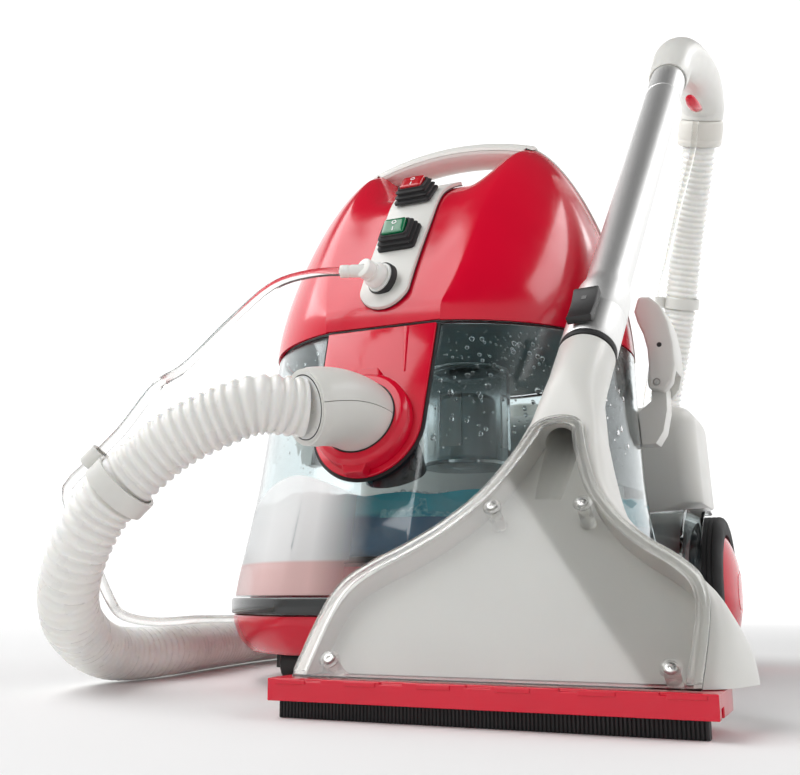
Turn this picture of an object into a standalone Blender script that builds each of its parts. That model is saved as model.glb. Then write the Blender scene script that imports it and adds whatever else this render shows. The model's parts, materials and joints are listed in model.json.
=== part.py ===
"""Spray-extraction carpet cleaner: wet tank, motor head, suction hose and floor wand.

Units are metres and +Z is up.  The machine's front looks along -Y and its width
runs along X.  Everything is modelled in the machine's own coordinates, whose zero
is on the floor below the front edge of the tank rim, and hangs on the empty
"machine_frame", which shifts it so that the origin is the middle of the footprint.
"""
import math

import bmesh
import bpy
from mathutils import Matrix, Vector

# ---------------------------------------------------------------- driving dimensions
FOOTPRINT_CENTRE = (0.0236, 0.1880)    # machine coordinates of the world origin
GAP = 0.0004                           # clearance between neighbouring solids
MM = 0.001

# recovery tank and motor head, whose plan is two half ellipses with a flat front
PLAN_CENTRE_Y = 0.144
PLAN_REAR_Y = 0.288
FRONT_FLAT_HALF = 0.044
RING_POINTS = 44
TANK_WALL = 3.0 * MM
TANK_FLOOR_Z = 0.083
TANK_BOTTOM_Z = 0.0597
TANK_TOP_Z = 0.2440
RIM_Z = 0.2461
HEAD_WALL = 2.5 * MM
RIM_HALF = 0.1450
REAR_SWELL = 1.5 * MM                  # the grey rear shell stands proud by this much
# height, half width, front of the tank wall
TANK_SECTIONS = [
    (0.0475, 0.1620, -0.0500),
    (0.0600, 0.1620, -0.0490),
    (0.0750, 0.1600, -0.0460),
    (0.0900, 0.1570, -0.0425),
    (0.1130, 0.1530, -0.0360),
    (0.1360, 0.1500, -0.0293),
    (0.1720, 0.1480, -0.0182),
    (0.2100, 0.1460, -0.0064),
    (0.2455, 0.1450, 0.0045),
]
BASE_HALF = 0.1620
BASE_FRONT = -0.0500

# inlet on the sloping front panel
BIB_TOP_Z = 0.2455
BIB_ROUND_Z = 0.1735
BIB_HALF_TOP = 0.0418
BIB_HALF = 0.0395
BIB_THICK = 3.9 * MM
BIB_SLOPE = math.atan2(0.0227, 0.0735)
INLET_Z = 0.1720
INLET_HOLE_R = 0.0268
INLET_NORMAL = Vector((0.0, -math.cos(BIB_SLOPE), math.sin(BIB_SLOPE)))
INLET = Vector((0.0, 0.0 - (TANK_TOP_Z + 0.0015 - INLET_Z) * math.tan(BIB_SLOPE), INLET_Z))
ELBOW_OUT_R = 0.0250
ELBOW_IN_R = 0.0222

# running gear
AXLE_Y = 0.302
AXLE_Z = 0.064
AXLE_R = 0.005
TYRE_R = 0.064
HUB_R = 0.0480
TYRE_IN_X = 0.163
TYRE_OUT_X = 0.190
GUARD_FROM = 75.0                      # the guard's ends round the wheel, in degrees
GUARD_TO = 182.0
CASTER_X = 0.073
CASTER_Y = 0.015
CASTER_TRAIL = 0.0065
CASTER_WHEEL_R = 0.0155

# side latches
LATCH_Y = 0.170
LATCH_WIDTH = 0.042
LATCH_SLOT_HALF = 0.0118
LATCH_PIN_X = 0.1625
LATCH_PIN_Z = 0.2210

# solution tank behind the recovery tank
SOLUTION_FRONT = 0.2935
SOLUTION_REAR = 0.3935
SOLUTION_HALF_LOW = 0.1500             # beside the wheel guards
SOLUTION_HALF = 0.1710
SOLUTION_STEP_Z = 0.1380
SOLUTION_BOTTOM = 0.0785
SOLUTION_TOP = 0.2320
SOLUTION_WALL = 2.5 * MM

# hose and solution tube
HOSE_R = 0.0190
HOSE_STEP = 0.0285
CUFF_LENGTH = 0.030
CUFF_START = Vector((0.1698, 0.5010, 0.6000))
CUFF_AXIS = Vector((-0.22, 0.47, -0.855)).normalized()
TUBE_R = 0.00325
TUBE_OFFSET = 0.0262                   # from the hose's centre line to the tube's
FRONT_EYE = 90.0                       # angle of the tube round the hose at the front clip
REAR_EYE = 5.0                         # the same at the rear clip
VALVE_SIDE = -60.0                     # and where it reaches the grip
FRONT_CLIP_NEAR = Vector((-0.1146, -0.1294, 0.1244))
REAR_CLIP_NEAR = Vector((0.1213, 0.5883, 0.4085))
CONNECTOR_EXIT = Vector((-0.95, -0.30, 0.0)).normalized()
SOCKET_AXIS = Vector((-0.35, -0.90, 0.22)).normalized()
SOCKET_Y = 0.0105

# floor wand, whose axis rises from the middle of the squeegee
WAND_FOOT = Vector((0.1250, -0.1570, 0.0))
WAND_TOP = Vector((0.1666, 0.2640, 0.5251))
WAND_AXIS = (WAND_TOP - WAND_FOOT).normalized()
WAND_SIDE = Vector((1.0, 0.0, 0.0)).cross(WAND_AXIS).cross(WAND_AXIS).normalized() * -1.0
WAND_FRONT = WAND_SIDE.cross(WAND_AXIS)
WAND_TUBE_R = 0.0158
WAND_BORE_R = 0.0138
NECK_END = 0.2745                      # distances along the wand axis from its foot
BELL_START = 0.2795
BELL_END = 0.3370
SPIGOT_END = 0.2350
TUBE_END = 0.7000
GRIP_START = 0.6840
LOCK_BUTTON_AT = 0.2988
NECK_R = 0.0188
BELL_R = 0.0193
NECK_BORE_R = 0.0161
SPIGOT_R = 0.0152

# squeegee nozzle; its plate leans back at the wand's angle
NOZZLE_UP = Vector((0.0, WAND_AXIS.y, WAND_AXIS.z)).normalized()
NOZZLE_OUT = Vector((0.0, -NOZZLE_UP.z, NOZZLE_UP.y))
NOZZLE_DRIFT = WAND_AXIS.x / NOZZLE_UP.dot(WAND_AXIS)
LIP_LEFT, LIP_RIGHT = 0.0157, 0.2346
NOZZLE_FLOOR_Z = 0.0199                # underside of the nozzle, just above its lip holder
# height up the plate, half width of the cover
COVER_OUTLINE = [
    (0.0080, 0.1005), (0.0600, 0.1000), (0.0780, 0.0945), (0.0910, 0.0820),
    (0.1020, 0.0670), (0.1180, 0.0500), (0.1400, 0.0340), (0.1680, 0.0225),
    (0.1880, 0.0165), (0.1980, 0.0095), (0.2010, 0.0),
]


# ---------------------------------------------------------------- scene and materials
def clear_scene():
    """Remove the objects that are already in the scene."""
    for obj in list(bpy.data.objects):
        bpy.data.objects.remove(obj, do_unlink=True)


clear_scene()
PARTS = bpy.data.collections.new("carpet_cleaner")
CUTTERS = bpy.data.collections.new("cutters")
bpy.context.scene.collection.children.link(PARTS)
bpy.context.scene.collection.children.link(CUTTERS)

FRAME = bpy.data.objects.new("machine_frame", None)
FRAME.location = (-FOOTPRINT_CENTRE[0], -FOOTPRINT_CENTRE[1], 0.0)
PARTS.objects.link(FRAME)


def make_material(name, colour, roughness, metallic=0.0, alpha=1.0):
    """A Principled material with one colour."""
    material = bpy.data.materials.new(name)
    material.use_nodes = True
    shader = material.node_tree.nodes["Principled BSDF"]
    shader.inputs["Base Color"].default_value = (*colour, 1.0)
    shader.inputs["Roughness"].default_value = roughness
    shader.inputs["Metallic"].default_value = metallic
    shader.inputs["Alpha"].default_value = alpha
    material.diffuse_color = (*colour, alpha)
    return material


RED = make_material("red_plastic", (0.58, 0.006, 0.027), 0.18)
GREY = make_material("light_grey_plastic", (0.60, 0.60, 0.57), 0.38)
BLACK = make_material("black_plastic", (0.02, 0.02, 0.02), 0.45)
RUBBER = make_material("black_rubber", (0.015, 0.015, 0.015), 0.75)
SMOKED = make_material("smoked_clear_plastic", (0.35, 0.42, 0.45), 0.08, 0.0, 0.35)
CLEAR = make_material("clear_plastic", (0.80, 0.80, 0.77), 0.10, 0.0, 0.4)
ALUMINIUM = make_material("satin_aluminium", (0.72, 0.72, 0.70), 0.30, 1.0)
STEEL = make_material("steel", (0.60, 0.60, 0.58), 0.25, 1.0)
GREEN = make_material("green_plastic", (0.0, 0.16, 0.05), 0.30)
WHITE = make_material("white_plastic", (0.80, 0.80, 0.76), 0.35)
HOSE = make_material("hose_vinyl", (0.72, 0.71, 0.67), 0.40)


# ---------------------------------------------------------------- modelling helpers
def add_object(name, data, material, cutter=False):
    """Link a new object under the machine frame."""
    obj = bpy.data.objects.new(name, data)
    (CUTTERS if cutter else PARTS).objects.link(obj)
    obj.parent = FRAME
    if cutter:
        obj.hide_render = True
        obj.display_type = "WIRE"
    else:
        data.materials.append(material)
    return obj


def from_bmesh(name, bm, material, cutter=False, smooth_angle=35.0):
    """Turn a bmesh into an object with its faces pointing out."""
    bmesh.ops.recalc_face_normals(bm, faces=bm.faces)
    mesh = bpy.data.meshes.new(name)
    bm.to_mesh(mesh)
    bm.free()
    mesh.shade_smooth()
    mesh.set_sharp_from_angle(angle=math.radians(smooth_angle))
    return add_object(name, mesh, material, cutter)


def loft(name, rings, material, closed_path=False, cutter=False, smooth_angle=35.0):
    """Skin a list of rings with equal point counts; the ends are capped."""
    bm = bmesh.new()
    rows = [[bm.verts.new(point) for point in ring] for ring in rings]
    pairs = list(zip(rows, rows[1:]))
    if closed_path:
        pairs.append((rows[-1], rows[0]))
    for low, high in pairs:
        count = len(low)
        for i in range(count):
            j = (i + 1) % count
            bm.faces.new((low[i], low[j], high[j], high[i]))
    if not closed_path:
        bm.faces.new(rows[0])
        bm.faces.new(rows[-1])
    return from_bmesh(name, bm, material, cutter, smooth_angle)


def turned(name, profile, material, centre, axis, steps=32, cutter=False):
    """Turn a profile of (radius, height) points, given from the top down the outer side."""
    mesh = bpy.data.meshes.new(name)
    points = [(radius, 0.0, height) for radius, height in profile]
    on_axis = profile[0][0] == 0.0 and profile[-1][0] == 0.0
    edges = [(i, i + 1) for i in range(len(points) - 1)]
    if not on_axis:
        edges.append((len(points) - 1, 0))
    mesh.from_pydata(points, edges, [])
    obj = add_object(name, mesh, material, cutter)
    screw = obj.modifiers.new("turn", "SCREW")
    screw.steps = steps
    screw.render_steps = steps
    screw.use_merge_vertices = True
    screw.merge_threshold = 0.00001
    screw.use_smooth_shade = True
    obj.location = centre
    obj.rotation_mode = "QUATERNION"
    obj.rotation_quaternion = Vector(axis).to_track_quat("Z", "Y")
    return obj


def box(name, low, high, material, cutter=False, bevel=0.0):
    """A box between two corners, with optional rounded edges."""
    low, high = Vector(low), Vector(high)
    bm = bmesh.new()
    bmesh.ops.create_cube(bm, size=1.0)
    size = Matrix.Diagonal((*(high - low), 1.0))
    bmesh.ops.transform(bm, matrix=Matrix.Translation((low + high) / 2) @ size, verts=bm.verts)
    obj = from_bmesh(name, bm, material, cutter)
    if bevel:
        round_edges(obj, bevel)
    return obj


def cylinder(name, start, end, radius, material, cutter=False, sides=24):
    """A plain cylinder between two points."""
    start, end = Vector(start), Vector(end)
    bm = bmesh.new()
    bmesh.ops.create_cone(bm, cap_ends=True, segments=sides, radius1=radius, radius2=radius,
                          depth=(end - start).length)
    turn = (end - start).to_track_quat("Z", "Y").to_matrix().to_4x4()
    bmesh.ops.transform(bm, matrix=Matrix.Translation((start + end) / 2) @ turn, verts=bm.verts)
    return from_bmesh(name, bm, material, cutter)


def plate(name, outline, thickness, frame, material, cutter=False):
    """A flat outline in a frame's XY plane, thickened along the frame's +Z."""
    bm = bmesh.new()
    low = [bm.verts.new(frame @ Vector((x, y, 0.0))) for x, y in outline]
    high = [bm.verts.new(frame @ Vector((x, y, thickness))) for x, y in outline]
    bm.faces.new(low)
    bm.faces.new(high)
    for i in range(len(outline)):
        j = (i + 1) % len(outline)
        bm.faces.new((low[i], low[j], high[j], high[i]))
    return from_bmesh(name, bm, material, cutter)


def round_edges(obj, width, segments=2, angle=40.0):
    """Round an object's sharp edges."""
    bevel = obj.modifiers.new("round", "BEVEL")
    bevel.width = width
    bevel.segments = segments
    bevel.limit_method = "ANGLE"
    bevel.angle_limit = math.radians(angle)
    return obj


def cut(obj, *cutters):
    """Subtract the cutters from an object."""
    for cutter in cutters:
        boolean = obj.modifiers.new("cut", "BOOLEAN")
        boolean.operation = "DIFFERENCE"
        boolean.object = cutter
    return obj


def join(obj, *pieces):
    """Unite an object with helper solids, which become hidden cutters."""
    for piece in pieces:
        boolean = obj.modifiers.new("join", "BOOLEAN")
        boolean.operation = "UNION"
        boolean.object = piece
    return obj


def move_origin(obj, point):
    """Put an object's origin on its joint axis without moving its shape."""
    offset = Vector(point)
    turn = obj.rotation_quaternion if obj.rotation_mode == "QUATERNION" else None
    local = offset - obj.location
    if turn is not None:
        local = turn.inverted() @ local
    obj.data.transform(Matrix.Translation(-local))
    obj.location = offset
    return obj


def axes_matrix(origin, x_axis, y_axis, z_axis):
    """A frame from an origin and three unit axes."""
    matrix = Matrix((x_axis, y_axis, z_axis)).transposed().to_4x4()
    matrix.translation = origin
    return matrix


def interpolate(table, x):
    """Smooth interpolation through rows of (x, value, value ...)."""
    if x <= table[0][0]:
        return table[0][1:]
    for i in range(len(table) - 1):
        if x <= table[i + 1][0]:
            return hermite(table, i, x)
    return table[-1][1:]


def hermite(table, i, x):
    """Cubic between rows i and i + 1, with slopes from the neighbouring rows."""
    before, low, high, after = (table[max(i - 1, 0)], table[i], table[i + 1],
                                table[min(i + 2, len(table) - 1)])
    span = high[0] - low[0]
    t = (x - low[0]) / span
    values = []
    for k in range(1, len(low)):
        slope_low = (high[k] - before[k]) / (high[0] - before[0]) * span
        slope_high = (after[k] - low[k]) / (after[0] - low[0]) * span
        values.append((2 * t**3 - 3 * t**2 + 1) * low[k] + (t**3 - 2 * t**2 + t) * slope_low
                      + (3 * t**2 - 2 * t**3) * high[k] + (t**3 - t**2) * slope_high)
    return tuple(values)


def smooth_route(points, spacing):
    """Points at an even spacing on a centripetal Catmull-Rom curve through a route."""
    points = [Vector(p) for p in points]
    ends = [points[0] * 2 - points[1]] + points + [points[-1] * 2 - points[-2]]
    dense = []
    for a, b, c, d in zip(ends, ends[1:], ends[2:], ends[3:]):
        for step in range(24):
            dense.append(catmull_rom(a, b, c, d, step / 24))
    dense.append(points[-1])
    total = sum((q - p).length for p, q in zip(dense, dense[1:]))
    count = round(total / spacing)
    return resample(dense, total / count, count)


def catmull_rom(a, b, c, d, t):
    """One point of the centripetal curve between b and c."""
    knots = [0.0]
    for p, q in ((a, b), (b, c), (c, d)):
        knots.append(knots[-1] + math.sqrt((q - p).length))
    t0, t1, t2, t3 = knots
    x = t1 + (t2 - t1) * t
    a1 = a * ((t1 - x) / (t1 - t0)) + b * ((x - t0) / (t1 - t0))
    a2 = b * ((t2 - x) / (t2 - t1)) + c * ((x - t1) / (t2 - t1))
    a3 = c * ((t3 - x) / (t3 - t2)) + d * ((x - t2) / (t3 - t2))
    b1 = a1 * ((t2 - x) / (t2 - t0)) + a2 * ((x - t0) / (t2 - t0))
    b2 = a2 * ((t3 - x) / (t3 - t1)) + a3 * ((x - t1) / (t3 - t1))
    return b1 * ((t2 - x) / (t2 - t1)) + b2 * ((x - t1) / (t2 - t1))


def resample(dense, step, count):
    """Walk along a dense polyline and take a point at every step."""
    result = [dense[0]]
    walked = 0.0
    for p, q in zip(dense, dense[1:]):
        length = (q - p).length
        while walked + length >= step * len(result) and len(result) < count:
            result.append(p.lerp(q, (step * len(result) - walked) / length))
        walked += length
    result.append(dense[-1])
    return result


def cord(name, points, radius, bevel_resolution, material):
    """A round cord or hose: a bevelled poly curve through evenly spaced points."""
    curve = bpy.data.curves.new(name, "CURVE")
    curve.dimensions = "3D"
    curve.bevel_depth = radius
    curve.bevel_resolution = bevel_resolution
    curve.use_fill_caps = True
    spline = curve.splines.new("POLY")
    spline.points.add(len(points) - 1)
    for item, point in zip(spline.points, points):
        item.co = (*point, 1.0)
    return add_object(name, curve, material)


def path_frames(points):
    """A (point, side, up) frame at each point of a path, without twist."""
    points = [Vector(p) for p in points]
    frames = []
    side = None
    for i, point in enumerate(points):
        ahead = points[min(i + 1, len(points) - 1)] - points[max(i - 1, 0)]
        ahead.normalize()
        if side is None:
            side = ahead.cross(Vector((0.0, 0.0, 1.0))).normalized()
        side = (side - ahead * side.dot(ahead)).normalized()
        frames.append((point, side, side.cross(ahead)))
    return frames


def ellipse_ring(frame, half_side, half_up, count, start=0.0, sweep=2 * math.pi):
    """Points on an ellipse or an elliptic arc in a path frame."""
    point, side, up = frame
    steps = count if sweep >= 2 * math.pi else count - 1
    ring = []
    for i in range(count):
        angle = start + sweep * i / steps
        ring.append(point + side * (math.cos(angle) * half_side) + up * (math.sin(angle) * half_up))
    return ring


# ---------------------------------------------------------------- plan of tank and head
def plan_ring(height, half_width, front, rear, inset=0.0):
    """One horizontal section: two half ellipses whose front is cut flat."""
    half_width, front, rear = half_width - inset, front + inset, rear - inset
    flat = FRONT_FLAT_HALF / half_width
    nose = (PLAN_CENTRE_Y - front) / math.sqrt(1.0 - flat * flat)
    ring = []
    for i in range(RING_POINTS):
        angle = 2 * math.pi * (i + 0.5) / RING_POINTS
        depth = rear - PLAN_CENTRE_Y if math.sin(angle) > 0 else nose
        y = max(PLAN_CENTRE_Y + depth * math.sin(angle), front)
        ring.append(Vector((half_width * math.cos(angle), y, height)))
    return ring


def tank_ring(height, inset=0.0):
    """The tank wall's section at a height."""
    half_width, front = interpolate(TANK_SECTIONS, height)
    return plan_ring(height, half_width, front, PLAN_REAR_Y - 0.003, inset)


def tank_heights(low, high):
    """The table's heights between two levels, with both levels."""
    return [low] + [row[0] for row in TANK_SECTIONS if low + MM < row[0] < high - MM] + [high]


def tank_clearance():
    """A solid a little larger than the tank, to trim the pieces beside it."""
    rings = [tank_ring(z, -0.0006) for z in tank_heights(TANK_BOTTOM_Z - 0.02, TANK_TOP_Z)]
    return loft("tank_clearance", rings, None, cutter=True)


def base_ring(height, inset):
    """One section of the base, whose plan is the tank's at its foot."""
    return plan_ring(height, BASE_HALF, BASE_FRONT, PLAN_REAR_Y - 0.003, inset)


# ---------------------------------------------------------------- chassis and tank
def base_pan():
    """Red base: a shell with a plinth inside the tank skirt and a rear deck."""
    sections = [
        (0.0745, 0.0145), (0.0500, 0.0145), (0.0440, 0.0035), (0.0300, 0.0100), (0.0225, 0.0165),
        (0.0225, 0.0130), (0.0270, 0.0085), (0.0320, 0.0045), (0.0400, 0.0012), (0.0472, 0.0),
        (0.0475, 0.0110), (0.0780, 0.0115),
    ]
    pan = loft("base_pan", [base_ring(*section) for section in sections], RED)
    deck = box("deck_block", (-0.150, 0.272, 0.030), (0.150, 0.385, 0.0468), None, True)
    join(pan, deck)
    for side in (-1, 1):
        knuckle = box(f"knuckle_{side}", (side * 0.130 - 0.018, 0.288, 0.040),
                      (side * 0.130 + 0.018, 0.316, 0.0780), None, True)
        boss = cylinder(f"caster_boss_{side}", (side * CASTER_X, CASTER_Y, 0.0415),
                        (side * CASTER_X, CASTER_Y, 0.0760), 0.0150, None, True)
        bore = cylinder(f"caster_bore_{side}", (side * CASTER_X, CASTER_Y, 0.030),
                        (side * CASTER_X, CASTER_Y, 0.0620), 0.0066, None, True)
        join(pan, knuckle, boss)
        cut(pan, bore)
    hole = cylinder("axle_hole", (-0.16, AXLE_Y, AXLE_Z), (0.16, AXLE_Y, AXLE_Z),
                    AXLE_R + GAP, None, True)
    cut(pan, hole)
    return pan


def recovery_tank():
    """Smoked clear tank: an open bowl on a skirt, with the inlet hole in its front."""
    outside = [tank_ring(z) for z in tank_heights(TANK_BOTTOM_Z, TANK_TOP_Z)]
    inside = [tank_ring(z, TANK_WALL) for z in reversed(tank_heights(TANK_FLOOR_Z, TANK_TOP_Z))]
    skirt = [tank_ring(TANK_FLOOR_Z - TANK_WALL, TANK_WALL), tank_ring(TANK_BOTTOM_Z, TANK_WALL)]
    tank = loft("recovery_tank", skirt + outside + inside, SMOKED)
    hole = cylinder("inlet_hole", INLET - INLET_NORMAL * 0.02, INLET + INLET_NORMAL * 0.02,
                    INLET_HOLE_R, None, True, 32)
    return cut(tank, hole)


def tank_band():
    """Dark band that clamps the tank's skirt to the base."""
    sections = [(0.0481, 0.0100), (0.0481, -0.0014), (0.0492, -0.0024), (0.0580, -0.0024),
                (0.0591, -0.0014), (0.0591, 0.0100)]
    return loft("tank_band", [base_ring(*section) for section in sections], SMOKED,
                closed_path=True)


def tank_gasket():
    """Rubber gasket between the tank's rim and the head."""
    rings = [tank_ring(0.2443, 0.0046), tank_ring(0.2443, 0.0012),
             tank_ring(0.2457, 0.0012), tank_ring(0.2457, 0.0046)]
    return loft("tank_gasket", rings, RUBBER, closed_path=True)


def bib_frame():
    """Frame on the front panel's back face, +Y up the slope and +Z outwards."""
    x_axis = Vector((1.0, 0.0, 0.0))
    y_axis = INLET_NORMAL.cross(x_axis)
    return axes_matrix(INLET - INLET_NORMAL * BIB_THICK, x_axis, y_axis, INLET_NORMAL)


def inlet_bib():
    """Red front panel with a round lower end and a hole for the inlet."""
    top = (BIB_TOP_Z - INLET_Z) / math.cos(BIB_SLOPE) - 0.001
    middle = (BIB_ROUND_Z - INLET_Z) / math.cos(BIB_SLOPE)
    outline = [(BIB_HALF_TOP, top), (-BIB_HALF_TOP, top)]
    for i in range(17):
        angle = math.pi + math.pi * i / 16
        outline.append((BIB_HALF * math.cos(angle), middle + BIB_HALF * math.sin(angle)))
    panel = plate("inlet_bib", outline, BIB_THICK, bib_frame(), RED)
    hole = cylinder("bib_hole", INLET - INLET_NORMAL * 0.02, INLET + INLET_NORMAL * 0.02,
                    INLET_HOLE_R, None, True, 32)
    return cut(panel, hole)


def inlet_collar():
    """Red bayonet ring round the inlet, with a tab above and a tab below."""
    profile = [(0.0262, 0.0125), (0.0312, 0.0125), (0.0335, 0.0100), (0.0340, GAP), (0.0262, GAP)]
    collar = turned("inlet_collar", profile, RED, INLET, INLET_NORMAL, 28)
    raised = Matrix.Translation(INLET_NORMAL * (BIB_THICK + 0.0015)) @ bib_frame()
    for end in (-1, 1):
        outline = [(-0.009, end * 0.0305), (0.009, end * 0.0305), (0.007, end * 0.0385),
                   (-0.007, end * 0.0385)]
        join(collar, plate(f"bayonet_tab_{end}", outline, 0.0085, raised, None, True))
    return collar


def inlet_duct():
    """Duct behind the inlet that turns the flow down into the tank."""
    start = INLET - INLET_NORMAL * 0.0115
    path = [start, start - INLET_NORMAL * 0.012, start + Vector((0.0, 0.028, -0.012)),
            start + Vector((0.0, 0.036, -0.026))]
    frames = path_frames(path)
    outer = [ellipse_ring(frame, 0.0215, 0.0215, 18) for frame in frames]
    inner = [ellipse_ring(frame, 0.0190, 0.0190, 18) for frame in reversed(frames)]
    return loft("inlet_duct", outer + inner, BLACK, closed_path=True)


def elbow_path():
    """Centre line of the inlet elbow, from the collar to the hose."""
    return smooth_route([
        INLET + INLET_NORMAL * 0.0012, INLET + INLET_NORMAL * 0.0140,
        (-0.0025, -0.0560, 0.1778), (-0.0065, -0.0715, 0.1768), (-0.0130, -0.0835, 0.1745),
    ], 0.0095)


def inlet_elbow_half(name, start_angle):
    """One of the two half shells of the elbow; they meet along a level seam."""
    frames = path_frames(elbow_path())
    gap_angle = math.asin(GAP / 2 / ELBOW_IN_R)
    sweep = math.pi - 2 * gap_angle
    rings = []
    for frame in frames:
        outer = ellipse_ring(frame, ELBOW_OUT_R, ELBOW_OUT_R, 12, start_angle + gap_angle, sweep)
        inner = ellipse_ring(frame, ELBOW_IN_R, ELBOW_IN_R, 12, start_angle + gap_angle, sweep)
        rings.append(outer + inner[::-1])
    return loft(name, rings, GREY)


# ---------------------------------------------------------------- running gear
def rear_axle():
    """Steel axle through the base's two knuckles."""
    end = TYRE_IN_X + 0.0180
    return cylinder("rear_axle", (-end, AXLE_Y, AXLE_Z), (end, AXLE_Y, AXLE_Z), AXLE_R, STEEL)


def rear_wheel(side_name, side):
    """Rubber tyre on a domed red hub that turns on the axle's end."""
    centre = Vector((side * TYRE_IN_X, AXLE_Y, AXLE_Z))
    width = TYRE_OUT_X - TYRE_IN_X
    tyre_profile = [(HUB_R + GAP, width), (TYRE_R - 0.0035, width), (TYRE_R, width - 0.0045),
                    (TYRE_R, 0.0045), (TYRE_R - 0.0035, 0.0), (HUB_R + GAP, 0.0)]
    tyre = turned(f"rear_tyre_{side_name}", tyre_profile, RUBBER, centre, (side, 0, 0), 32)
    hub_profile = [(0.0, width + 0.0085), (0.012, width + 0.0080), (0.026, width + 0.0060),
                   (0.038, width + 0.0025), (0.0445, width - 0.0005), (HUB_R, width - 0.0040),
                   (HUB_R, 0.0020), (AXLE_R + GAP, 0.0020), (AXLE_R + GAP, 0.0200), (0.0, 0.0200)]
    hub = turned(f"rear_hub_{side_name}", hub_profile, RED, centre, (side, 0, 0), 28)
    return tyre, hub


def wheel_guard(side_name, side, clearance):
    """Smoked guard over a rear wheel: a curved skin with a web between wheel and tank."""
    rings = []
    count = 16
    for i in range(count):
        degrees = GUARD_FROM + (GUARD_TO - GUARD_FROM) * i / (count - 1)
        angle = math.radians(degrees)
        inward = 0.1560 if degrees < 106.0 else 0.1180
        section = [(inward, 0.0720), (0.1740, 0.0720), (0.1760, 0.0705), (0.1740, 0.0690),
                   (0.1605, 0.0690), (0.1605, 0.0340), (0.1580, 0.0340), (0.1580, 0.0690),
                   (inward, 0.0690)]
        rings.append([Vector((side * x, AXLE_Y + radius * math.cos(angle),
                              AXLE_Z + radius * math.sin(angle))) for x, radius in section])
    return cut(loft(f"wheel_guard_{side_name}", rings, SMOKED), clearance)


def caster(side_name, side):
    """Swivel caster: a black fork with its stem, and its wheel."""
    x = side * CASTER_X
    radius = CASTER_WHEEL_R
    fork = cylinder(f"caster_fork_{side_name}", (x, CASTER_Y, 0.0345), (x, CASTER_Y, 0.0405),
                    0.0165, BLACK, sides=24)
    stem = cylinder(f"caster_stem_{side_name}", (x, CASTER_Y, 0.0400), (x, CASTER_Y, 0.0600),
                    0.0060, None, True)
    join(fork, stem)
    for cheek_side in (-1, 1):
        cheek_x = x + cheek_side * 0.0107
        cheek = box(f"cheek_{side_name}_{cheek_side}",
                    (cheek_x - 0.0013, CASTER_Y - 0.0050, radius - 0.0040),
                    (cheek_x + 0.0013, CASTER_Y + 0.0120, 0.0350), None, True)
        join(fork, cheek)
    move_origin(fork, (x, CASTER_Y, 0.0405))
    profile = [(0.0018, 0.0085), (radius - 0.0020, 0.0085), (radius, 0.0065), (radius, -0.0065),
               (radius - 0.0020, -0.0085), (0.0018, -0.0085)]
    wheel = turned(f"caster_wheel_{side_name}", profile, BLACK,
                   (x, CASTER_Y + CASTER_TRAIL, radius), (1, 0, 0), 22)
    return fork, wheel


# ---------------------------------------------------------------- latches
def side_frame(side, y):
    """Frame whose X runs outwards, Y up and Z along the machine, from a given depth."""
    return Matrix(((side, 0, 0, 0), (0, 0, 1, y), (0, 1, 0, 0), (0, 0, 0, 1)))


def latch(side_name, side, clearance):
    """Over-centre latch: bracket on the tank, pin and curved lever over the head."""
    half = LATCH_WIDTH / 2
    outer = [(0.1515, 0.2905), (0.1600, 0.2895), (0.1680, 0.2820), (0.1735, 0.2680),
             (0.1765, 0.2500), (0.1770, 0.2330), (0.1740, 0.2200), (0.1680, 0.2130)]
    inner = [(0.1560, 0.2165), (0.1555, 0.2230), (0.1570, 0.2340), (0.1565, 0.2480),
             (0.1540, 0.2600), (0.1500, 0.2700), (0.1478, 0.2790)]
    lever = plate(f"latch_lever_{side_name}", outer + inner, LATCH_WIDTH,
                  side_frame(side, LATCH_Y - half), GREY)
    round_edges(lever, 0.0025, 2, 50)
    middle = side * LATCH_PIN_X
    slot = box(f"lever_slot_{side_name}", (middle - 0.03, LATCH_Y - LATCH_SLOT_HALF, 0.20),
               (middle + 0.03, LATCH_Y + LATCH_SLOT_HALF, 0.2300), None, True)
    hole = latch_rod(f"latch_hole_{side_name}", side, 0.024, 0.0029, None, True)
    cut(lever, slot, hole)
    move_origin(lever, (side * LATCH_PIN_X, LATCH_Y, LATCH_PIN_Z))
    tongue = [(0.1440, 0.1750), (0.1580, 0.1750), (0.1640, 0.1840), (0.1675, 0.2000),
              (0.1680, 0.2180), (0.1660, 0.2250), (0.1600, 0.2260), (0.1572, 0.2210),
              (0.1560, 0.2080), (0.1440, 0.1990)]
    bracket = plate(f"latch_bracket_{side_name}", tongue, 0.0216,
                    side_frame(side, LATCH_Y - 0.0108), GREY)
    cut(bracket, hole, clearance)
    latch_rod(f"latch_pin_{side_name}", side, half - 0.0004, 0.0025, STEEL)
    return lever


def latch_rod(name, side, half_length, radius, material, cutter=False):
    """A rod along a latch's hinge line."""
    start = (side * LATCH_PIN_X, LATCH_Y - half_length, LATCH_PIN_Z)
    end = (side * LATCH_PIN_X, LATCH_Y + half_length, LATCH_PIN_Z)
    return cylinder(name, start, end, radius, material, cutter)


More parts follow.
